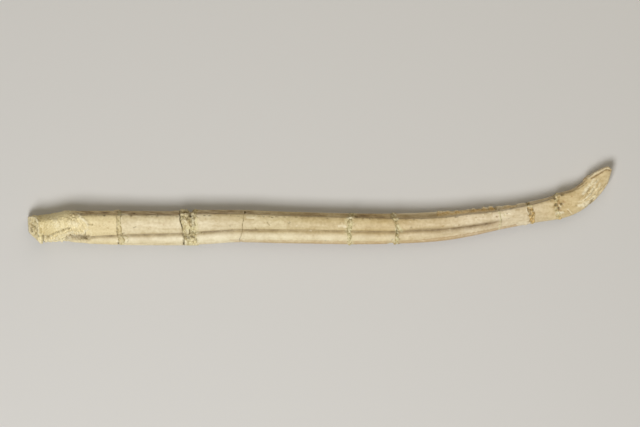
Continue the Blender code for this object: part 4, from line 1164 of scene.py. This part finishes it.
@dataclass
class BonePiece:
    """One length of the bone or one slice of putty, between two lines round the bone."""

    name: str
    start: BreakLine
    end: BreakLine
    slot: str
    form: BoneForm
    marks: tuple[Mark, ...]
    lumps: float = 0.0          # how far putty stands proud of the bone
    glue: float = 0.0           # how amber its putty is
    hollow_start: float = 0.0   # how far the middle of the first cap is sunk
    dome_end: float = 0.0       # how far the middle of the last cap swells out
    fine_start: bool = False    # the first cap shows, so it gets a fine mesh

    def work_marks(self, skin: Skin) -> tuple[Array, Stains]:
        """Work the marks into the plain side.

        Args:
            skin: The plain side.

        Returns:
            The swelling of each place, and the amount of each stain.
        """
        bend, sway, patch = GRAINS
        along, across, points, from_top = skin.along, skin.across, skin.points, skin.from_top

        # The far side gets softer, shifted copies.
        shifted = np.where(skin.upper, along, along + 0.8 * np.sin(along * 0.37))
        shifted = shifted + 0.16 * bend.rough(points, 1.3)
        shifted = shifted + 0.7 * skin.beneath * sway.rough(points + 13, 1.8)
        width = 1.15 + 0.4 * patch.read(points, 0.8)
        vary = np.clip(0.9 + 0.45 * patch.rough(points + 7, 0.7, 2), 0, 1.3) * (1 - 0.5 * skin.beneath)

        # Marks are placed as seen from above, so they are broken up on the upright face and fade
        # under the near rim.
        upright = np.clip(1.3 - np.abs(from_top) / 35, 0, 1)
        patchy = 1 - upright * (1 - np.clip(0.45 + 1.4 * bend.rough(points + 21, 1.7), 0, 1))
        at_rim = (skin.turn >= RIM_TOP) & (skin.turn < 90)
        rim = np.where(at_rim, across, -LENGTH).max(axis=1, keepdims=True)
        under = np.clip((rim + 0.1 - across) / 0.2, 0, 1) * np.clip((RIM_TOP - from_top) / 10, 0, 1)
        vary = vary * (1 - 0.9 * under * (from_top > -40))

        swell = np.zeros_like(along)
        stains = Stains({stain.value: np.zeros_like(along) for stain in Stain if stain is not Stain.NONE})
        stains["crumb"] = np.zeros_like(along)
        low, high = along.min(), along.max()
        for mark in self.marks:
            first, last = mark.reach()
            if last < low or first > high:
                continue
            near = (shifted > first) & (shifted < last)
            if mark.side is Side.UP:
                near &= skin.upper
            share = np.zeros_like(along)
            spread = vary if mark.height < DEEP_PIT else vary * patchy
            share[near] = mark.share(shifted[near], across[near], width[near]) * spread[near]
            swell += mark.height * share
            if mark.stain is not Stain.NONE:
                stains.deepen(mark.stain.value, mark.strength * share)
            if mark.stain is Stain.PUTTY:
                stains.deepen("crumb", mark.strength * share)
                stains.deepen("spongy", 0.6 * mark.strength * share)
        return swell, stains

    def lay_soil_and_shade(self, skin: Skin, stains: Stains) -> None:
        """Soil and paint shade into the furrow, the groove and its near rim, paint light on the far rim, and
        rub the side below the furrow pale.

        Args:
            skin: The plain side.
            stains: The stains so far, which are changed.
        """
        _, sway, patch = GRAINS
        along, points, groove, from_rim = skin.along, skin.points, skin.groove, skin.from_near_rim
        streaks = skin.streaks()
        keep = np.clip(0.6 + 0.5 * patch.rough(points, 2.4), 0, 1)
        # Soil and warm painted shade darken the furrow.
        for name in ("dirt_and_shade", "amber"):
            stains.deepen(name, 0.8 * skin.soil_and_shade * (0.6 + 0.5 * keep))

        # The groove is streaked with soil and painted shade, and a painted shadow makes it darkest beside its
        # near rim.
        groove_soil_and_shade = np.interp(along, *GROOVE_SOIL_AND_SHADE)
        dark = 0.6 * (np.clip(1 + from_rim / 20, 0, 1) * groove ** 0.5)
        stains.deepen("umber", groove_soil_and_shade * groove ** 0.4 * np.clip(0.65 + 0.6 * streaks, 0, 1))
        stains.deepen("dirt_and_shade", groove_soil_and_shade * groove ** 0.5 * np.clip(0.16 + 0.6 * streaks, 0, 0.9) + dark)

        # Handling has rubbed the bone between the furrow and the keel.
        rubbed = np.exp(-((skin.across - np.interp(along, *RUBBED_PLACE)) / 1.7) ** 2)
        rubbed = rubbed * (skin.upper & (self.lumps == 0)) * np.interp(along, *RUBBED)
        stains.deepen("pale", rubbed * np.clip(0.9 + 0.3 * sway.rough(points, 2.2), 0, 1.2))

        # Painted shadow lines the inside of the near rim, and painted light makes the far rim pale.
        under_rim_shadow = np.exp(-((from_rim + 7) / 8) ** 2) * np.clip(0.75 + 0.5 * streaks, 0.2, 1)
        stains.deepen("dirt_and_shade", under_rim_shadow * np.interp(along, *NEAR_RIM_SHADOW))
        # Painted light: the far rim is paled and its soil is lifted.
        far_rim = np.exp(-((skin.turn - FAR_RIM + 2) / 8) ** 2) * np.clip(0.8 + 0.4 * streaks, 0, 1)
        far_rim = far_rim * np.interp(along, *FAR_RIM_LIGHT)
        for name in ("dirt_and_shade", "umber"):
            stains[name] = stains[name] * (1 - 0.8 * far_rim)
        stains.deepen("pale", 0.9 * far_rim)
        stains.deepen("honey", 0.35 * far_rim)

        # Painted shade darkens the near rim, with warm painted shade along it, and the keel's lip is brown.
        near_rim_shade = np.clip(1 - np.abs(from_rim) / 24, 0, 1) ** 1.3
        near_rim_shade = near_rim_shade * np.clip(0.38 + 0.5 * sway.rough(points, 1.1), 0, 1)
        near_rim_shade = near_rim_shade * np.clip((along - 20) / 6, 0, 1) * np.clip((212 - along) / 8, 0, 1)
        stains.deepen("dirt_and_shade", 0.6 * near_rim_shade)
        stains.deepen("amber", 0.6 * np.exp(-(from_rim / 9) ** 2) * groove ** 0.2 * keep)
        keel = np.exp(-((skin.turn - KEEL_LIP) / 18) ** 2) * np.clip((along - 60) / 40, 0, 1)
        stains.deepen("umber", 0.9 * (keel * np.clip((205 - along) / 15, 0, 1)))

    def lay_bare(self, skin: Skin, stains: Stains) -> None:
        """Make the base spongy up to its slanting crest, and the worn face of the tip.

        Args:
            skin: The plain side.
            stains: The stains so far, which are changed.
        """
        along, across = skin.along, skin.across
        base = np.clip((np.interp(across, *BASE_CREST) - along) / 1.5, 0, 1)
        base = base * np.clip((along - 1.0) / 4.0, 0.5, 1) * np.clip((across + 7.2) / 1.6, 0.3, 1)
        base = base * np.clip(0.65 + 0.6 * GRAINS[0].rough(skin.points, 4.5, 2), 0.2, 1)
        worn = np.exp(-((along - 230.0) / 5.5) ** 4) * np.clip((2.2 - across) / 1.5, 0, 1)
        stains.deepen("spongy", np.maximum(base, worn))

    def break_far_rim(self, skin: Skin, stains: Stains) -> Array:
        """Break the far rim: it is ragged, and the spongy bone inside it shows amber.

        Args:
            skin: The plain side.
            stains: The stains so far, which are changed.

        Returns:
            How far each place is bitten away.
        """
        along, turn = skin.along, skin.turn
        ragged = np.zeros_like(along)
        for first, last, amount in RAGGED:
            inside = np.clip(np.minimum(along - first, last - along) / 0.8, 0, 1)
            ragged = np.maximum(ragged, amount * inside)
        bite = 0.2 + 0.5 * noise(along, 81, 1.6) + 0.25 * noise(along, 82, 0.7)
        broken = ragged * np.exp(-((turn - FAR_RIM - 4) / 17) ** 4)
        cells = np.clip(GRAINS[2].rough(skin.points, 0.7), -1, 1)
        stains["dirt_and_shade"] = stains["dirt_and_shade"] * (1 - broken) + 0.45 * broken * np.clip(cells, 0, 1)
        stains["umber"] = stains["umber"] * (1 - broken)
        stains.deepen("honey", broken * np.clip(1.1 + 0.5 * noise(along, 83, 1.6), 0, 1))
        stains.deepen("amber", 0.6 * broken * np.clip(noise(along, 84, 2.2), 0, 1))
        stains.deepen("pale", 0.6 * broken * np.clip(-cells, 0, 1))
        stains.deepen("spongy", 0.8 * broken)
        return ragged * np.exp(-((turn - FAR_RIM) / 16) ** 4) * np.clip(bite, -0.35, 0.9)

    def fill(self, skin: Skin, stains: Stains) -> Array:
        """Turn the side into putty.

        Args:
            skin: The plain side.
            stains: The stains so far, which are changed.

        Returns:
            How far each place swells out.
        """
        bend, sway, patch = GRAINS
        points = skin.points
        body = 0.3 + 1.1 * bend.rough(points, 1.5) + 0.3 * sway.read(points, 0.4)
        body = body * np.clip(0.7 + 0.9 * patch.read(points, 3.5), 0.1, 1.4)
        stains.deepen("putty", np.clip(0.3 + 0.6 * patch.rough(points, 1.5), 0, 1))
        stains["honey"] = np.clip(self.glue * (1 + patch.rough(points + 5, 1.8)), 0, 1)
        stains.deepen("amber", 0.6 * np.clip(sway.rough(points + 3, 1.8), 0, 1))
        stains.deepen("spongy", 0.65)
        stains.deepen("crumb", 0.25)
        return self.lumps * body

    def side_grid(self, step: float, ring: int) -> tuple[Array, Array, Stains]:
        """Lay out the fine grid of the side.

        Args:
            step: Spacing of the grid.
            ring: Corners round one section.

        Returns:
            Points in metres, distances along the axis, and attributes.
        """
        angles = self.form.even_angles(ring)
        openings = self.start.opening(angles), self.end.opening(angles)
        first = self.start.read(angles) + openings[0] / 2
        last = self.end.read(angles) - openings[1] / 2
        rows = max(4, math.ceil(float(np.mean(last - first)) / step) + 1)
        share = np.linspace(0, 1, rows)[:, None]
        along = first[None, :] * (1 - share) + last[None, :] * share
        skin = Skin(self.form, along, np.broadcast_to(angles, along.shape))
        swell, stains = self.work_marks(skin)
        self.lay_soil_and_shade(skin, stains)
        self.lay_bare(skin, stains)
        swell -= self.break_far_rim(skin, stains)
        from_start, from_end = along - first[None, :], last[None, :] - along
        from_edge = np.minimum(from_start, from_end)
        if self.fine_start:
            stains.deepen("pale", 0.6 * np.exp(-(from_start / 0.5) ** 2))
        if self.lumps:
            swell = swell + self.fill(skin, stains) * np.clip(from_edge / 0.4, 0, 1)

        # A broken edge is a little rounded, and soil darkens it where the crack is open.
        worn = np.where(from_start < from_end, openings[0][None, :], openings[1][None, :])
        swell = swell - 0.5 * worn * np.exp(-(from_edge / 0.2) ** 2)
        stains.deepen("dirt_and_shade", np.clip(worn * 6 - 0.2, 0, 0.9) * np.exp(-(from_edge / 0.16) ** 2))

        # Each place swells out at a right angle to the section's outline.
        d_over = np.roll(skin.over, -1, axis=1) - np.roll(skin.over, 1, axis=1)
        d_out = np.roll(skin.out, -1, axis=1) - np.roll(skin.out, 1, axis=1)
        size = np.maximum(np.hypot(d_over, d_out), 1e-9)
        over, out = skin.over + swell * d_out / size, skin.out - swell * d_over / size
        stains["free"] = np.clip(from_edge / 0.3, 0.0, 1.0)
        stains["along"] = along / LENGTH
        stains["across"] = 0.5 + self.form.across(along, skin.turn, over, out) / LENGTH
        return self.form.place(along, over, out), along, stains

    def cap(self, ring_points: Array, ring_along: Array, stains: dict[str, Array], depth: float,
            rows: int) -> tuple[Array, Stains]:
        """Lay out the rows of a cap, from just inside the last ring to near the middle.

        Args:
            ring_points: Points of the ring that the cap closes.
            ring_along: Their distances along the axis.
            stains: The side's attributes at that ring.
            depth: How far the middle moves along the axis.
            rows: Number of rows.

        Returns:
            Points row by row, and their attributes.
        """
        middle_along = np.full(1, float(ring_along.mean()))
        middle = self.form.place(middle_along, np.zeros(1), np.zeros(1))[0]
        heading = float(np.interp(middle_along[0], self.form.axis.along, self.form.axis.heading))
        ahead = np.array((math.cos(heading), math.sin(heading), 0.0))
        shares = np.linspace(1, 0, rows + 2)[1:-1]
        sunk = depth * MM * np.clip((1 - shares) / 0.18, 0, 1) ** 0.7

        # The ring is split into a slanting plane and what rises from it, which fades towards the
        # middle.
        reach = (ring_points - middle) @ ahead
        aside = ring_points - middle - reach[:, None] * ahead
        known = np.column_stack([aside, np.ones(len(aside))])
        plane = np.linalg.lstsq(known, reach, rcond=None)[0]
        slant, level = aside @ plane[:3], plane[3]
        rise = reach - slant - level
        points = np.array([middle + aside * s + (level + slant * s + rise * s ** 4 + d)[:, None] * ahead
                           for s, d in zip(shares, sunk)])
        kept = Stains({key: np.repeat(value[None, :], len(shares), axis=0) for key, value in stains.items()})
        inside = np.clip((1 - shares) / 0.12, 0, 1)[:, None]
        for key in ("dirt_and_shade", "pale", "putty", "amber", "umber", "crumb"):
            kept[key] = kept[key] * (1 - inside)
        kept["free"] = np.zeros_like(kept["free"])
        for key in ("along", "across"):
            centre = stains[key].mean()
            kept[key] = centre + (kept[key] - centre) * shares[:, None]
        if self.fine_start:
            bend, sway, patch = GRAINS
            cells = np.clip(patch.rough(points / MM, 1.0, 2) * 1.6, -0.6, 1)
            rough = 0.35 * bend.rough(points / MM, 2.0) + 0.5 * cells
            points = points + (rough * inside)[..., None] * ahead * MM
            kept.deepen("dirt_and_shade", np.clip(0.06 + 0.5 * cells, 0, 0.6) * inside)
            kept.deepen("pale", 0.6 * np.clip(-cells, 0, 1) * inside)
            kept.deepen("amber", 0.5 * np.clip(sway.read(points / MM, 2.0), 0, 1) * inside)
        return points, kept

    def mesh(self, step: float, ring: int) -> bpy.types.Mesh:
        """Build the closed mesh.

        Args:
            step: Spacing of the fine grid.
            ring: Corners round one section.

        Returns:
            The mesh, with the stains as attributes of its points.
        """
        side, along, stains = self.side_grid(step, ring)
        first = {key: value[0] for key, value in stains.items()}
        last = {key: value[-1] for key, value in stains.items()}
        cap_rows = math.ceil(5.0 / step) if self.fine_start else 3
        head, head_stains = self.cap(side[0], along[0], first, self.hollow_start, cap_rows)
        tail, tail_stains = self.cap(side[-1], along[-1], last, self.dome_end, 6 if self.dome_end else 3)
        grid = np.concatenate([head[::-1], side, tail])
        values = {key: np.concatenate([head_stains[key][::-1], stains[key], tail_stains[key]])
                  for key in stains}
        hubs = np.array([grid[0].mean(axis=0), grid[-1].mean(axis=0)])
        rows = len(grid)
        points = np.concatenate([grid.reshape(-1, 3), hubs])
        index = np.arange(rows * ring).reshape(rows, ring)
        a, b = index[:-1], index[1:]
        quads = np.stack([a, b, np.roll(b, -1, axis=1), np.roll(a, -1, axis=1)], axis=-1).reshape(-1, 4)
        start_hub, end_hub = rows * ring, rows * ring + 1
        corner, following = index[0], np.roll(index[0], -1)
        start_fan = np.stack([np.full(ring, start_hub), corner, following], axis=-1)
        corner, following = index[-1], np.roll(index[-1], -1)
        end_fan = np.stack([np.full(ring, end_hub), following, corner], axis=-1)
        mesh = bpy.data.meshes.new(self.name + " rough")
        mesh.from_pydata(points.tolist(), [], quads.tolist() + start_fan.tolist() + end_fan.tolist())
        for key, value in values.items():
            flat = np.concatenate([value.reshape(-1), [value[0].mean(), value[-1].mean()]])
            layer = mesh.attributes.new(key, "FLOAT", "POINT")
            layer.data.foreach_set("value", np.clip(flat, 0, 1).astype(np.float32))
        mesh.update()
        return mesh

    def build(self, step: float, ring: int, tree: bpy.types.NodeTree,
              finishes: dict[str, bpy.types.Material], box: dict[str, Any]) -> bpy.types.Object:
        """Build the finished piece.

        Args:
            step: Spacing of the fine grid.
            ring: Corners round one section.
            tree: The tree that works in the fine relief.
            finishes: Slot name to material.
            box: The corners that it stays between.

        Returns:
            The piece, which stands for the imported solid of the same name.
        """
        texture = TEXTURES[self.slot]
        piece = grow(self.name + "_surface", self.mesh(step, ring), tree, {
            "Grain size": texture.grain_size * MM,
            "Grain depth": texture.grain_depth * MM,
            "Strut spacing": texture.strut_spacing * MM,
            "Strut height": texture.strut_height * MM,
            "Pore spacing": texture.pore_spacing * MM,
            "Pore depth": texture.pore_depth * MM,
            "Stretch": texture.stretch,
            "Finish": finishes[self.slot],
            **box,
        })
        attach(piece, BODY)
        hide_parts(self.name)
        return piece


@dataclass
class Crumbs:
    """The loose crumbs of putty round the breaks, scattered over a copy of a finished piece."""

    density: float = 1.1e6      # crumbs on a square metre that is all putty
    smallest: float = 0.1
    largest: float = 0.34

    def build(self, piece: bpy.types.Object, seed: int, tree: bpy.types.NodeTree,
              material: bpy.types.Material, box: dict[str, Any]) -> bpy.types.Object | None:
        """Scatter the crumbs of one piece.

        Args:
            piece: The finished piece.
            seed: Which draw of places and sizes.
            tree: The tree that scatters them.
            material: Their finish.
            box: The corners that they stay between.

        Returns:
            The crumbs as one mesh, or nothing where the piece has none.
        """
        crumbs = grow(piece.name.replace("_surface", "_crumbs"), piece.data.copy(), tree, {
            "Density": self.density, "Smallest": self.smallest * MM, "Largest": self.largest * MM,
            "Seed": seed, "Finish": material, **box,
        })
        if not crumbs.data.polygons:
            bpy.data.objects.remove(crumbs, do_unlink=True)
            return None
        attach(crumbs, BODY)
        return crumbs


@dataclass
class Specimen:
    """The whole mended bone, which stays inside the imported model's box."""

    form: BoneForm
    packed_box: tuple[tuple[float, float, float], tuple[float, float, float]]

    def pieces(self) -> list[BonePiece]:
        """List the nine lengths of bone and the six slices of putty.

        Returns:
            The plan of each piece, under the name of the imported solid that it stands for.
        """
        marks = BASE_MARKS + SHAFT_MARKS + BREAK_MARKS + TIP_MARKS + scattered_marks()
        m1, m2, m3, m4, m5, m6 = MEND_LINES
        lengths = (
            ("base", BASE_END, m1[0]), ("shaft_1", m1[1], m2[0]), ("shaft_2", m2[1], CRACK_3),
            ("shaft_3", CRACK_3, m3[0]), ("shaft_4", m3[1], m4[0]), ("shaft_5", m4[1], CRACK_6),
            ("shaft_6", CRACK_6, m5[0]), ("shaft_7", m5[1], m6[0]), ("tip", m6[1], TIP_END),
        )
        found = [
            BonePiece(
                name, start, end, "spongy_bone" if name == "base" else "compact_bone", self.form, marks,
                hollow_start=0.6 if name == "base" else 0.0, dome_end=0.5 if name == "tip" else 0.0,
                fine_start=name == "base")
            for name, start, end in lengths
        ]
        for number, ((start, end), (lumps, glue)) in enumerate(zip(MEND_LINES, MEND_BODIES), 1):
            found.append(BonePiece(
                f"mend_{number}", start, end, "putty", self.form, marks, lumps=lumps, glue=glue))
        return found

    def build(self) -> None:
        """Build every piece and its crumbs, and report each one."""
        step, ring = ((FINE, RING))
        finishes = {
            "compact_bone": COMPACT_BONE.material(),
            "spongy_bone": SPONGY_BONE.material(),
            "putty": PUTTY.material(),
        }
        relief, crumbs = relief_tree(), crumb_tree()
        box = {"Lowest": self.packed_box[0], "Highest": self.packed_box[1]}
        for number, plan in enumerate(self.pieces()):
            piece = plan.build(step, ring, relief, finishes, box)
            loose = Crumbs().build(piece, 500 + number, crumbs, finishes["putty"], box)
            LOG.info("%s: %d faces, %d in its crumbs", piece.name, len(piece.data.polygons),
                     len(loose.data.polygons) if loose else 0)


@dataclass
class Studio:
    """The pale floor, the lights and the camera."""

    floor_size: float = 3.0
    floor_colour: str = "CFCECC"
    lens: float = 220.0
    sensor: float = 36.0
    middle_height: float = 0.006    # height of the bone's middle over the floor, in metres

    def floor(self) -> None:
        """Lay a plain pale floor under the bone."""
        half = self.floor_size / 2
        corners = [(-half, -half, 0), (half, -half, 0), (half, half, 0), (-half, half, 0)]
        mesh = bpy.data.meshes.new("floor")
        mesh.from_pydata(corners, [], [(0, 1, 2, 3)])
        floor = bpy.data.objects.new("floor", mesh)
        bpy.context.scene.collection.objects.link(floor)
        material = bpy.data.materials.new("plain painted board")
        material.use_nodes = True
        shader = material.node_tree.nodes["Principled BSDF"]
        shader.inputs["Base Color"].default_value = linear(self.floor_colour)
        shader.inputs["Roughness"].default_value = 0.9
        mesh.materials.append(material)
        floor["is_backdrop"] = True

    def light(self, name: str, place: tuple[float, float, float], size: float, watts: float,
              colour: str) -> None:
        """Hang a square soft light that points at the bone.

        Args:
            name: The light's name.
            place: Its place in metres.
            size: Side of the square.
            watts: Its power.
            colour: Its colour.
        """
        data = bpy.data.lights.new(name, "AREA")
        data.size = size
        data.energy = watts
        data.color = linear(colour)[:3]
        lamp = bpy.data.objects.new(name, data)
        lamp.location = place
        distance = math.hypot(place[0], place[1])
        lamp.rotation_euler = (math.atan2(distance, place[2]), 0.0, math.atan2(place[0], -place[1]))
        bpy.context.scene.collection.objects.link(lamp)

    def camera(self) -> None:
        """Look straight down at the bone, with the picture's framing."""
        width = IMAGE[0] * MM_PER_PIXEL * MM
        data = bpy.data.cameras.new("camera")
        data.lens = self.lens
        data.sensor_width = self.sensor
        eye = bpy.data.objects.new("camera", data)
        x = (IMAGE[0] / 2 - MIDDLE_PIXEL[0]) * MM_PER_PIXEL * MM
        y = (MIDDLE_PIXEL[1] - IMAGE[1] / 2) * MM_PER_PIXEL * MM
        eye.location = (x, y, self.middle_height + width * self.lens / self.sensor)
        bpy.context.scene.collection.objects.link(eye)
        bpy.context.scene.camera = eye

    def build(self) -> None:
        """Set up the floor, two soft lights, the dim room and the camera."""
        self.floor()
        self.light("key", (-0.2, -0.52, 0.85), 0.42, 8.1, "FFFFFF")
        self.light("fill", (0.3, 0.55, 0.75), 0.9, 2.4, "FFF4DE")
        world = bpy.data.worlds.new("room")
        bpy.context.scene.world = world
        world.use_nodes = True
        background = world.node_tree.nodes["Background"]
        background.inputs["Color"].default_value = linear("F2EBDC")
        background.inputs["Strength"].default_value = 0.2
        self.camera()
        bpy.context.scene.view_settings.view_transform = "Standard"


def main() -> None:
    """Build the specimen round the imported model, then the studio."""
    logging.basicConfig(level=logging.INFO, format="%(name)s: %(message)s")
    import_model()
    packed_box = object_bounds()
    Specimen(BoneForm(Axis(), ground=AXIS_START), tuple(tuple(corner) for corner in packed_box)).build()
    Studio().build()


if __name__ == "__main__":
    main()
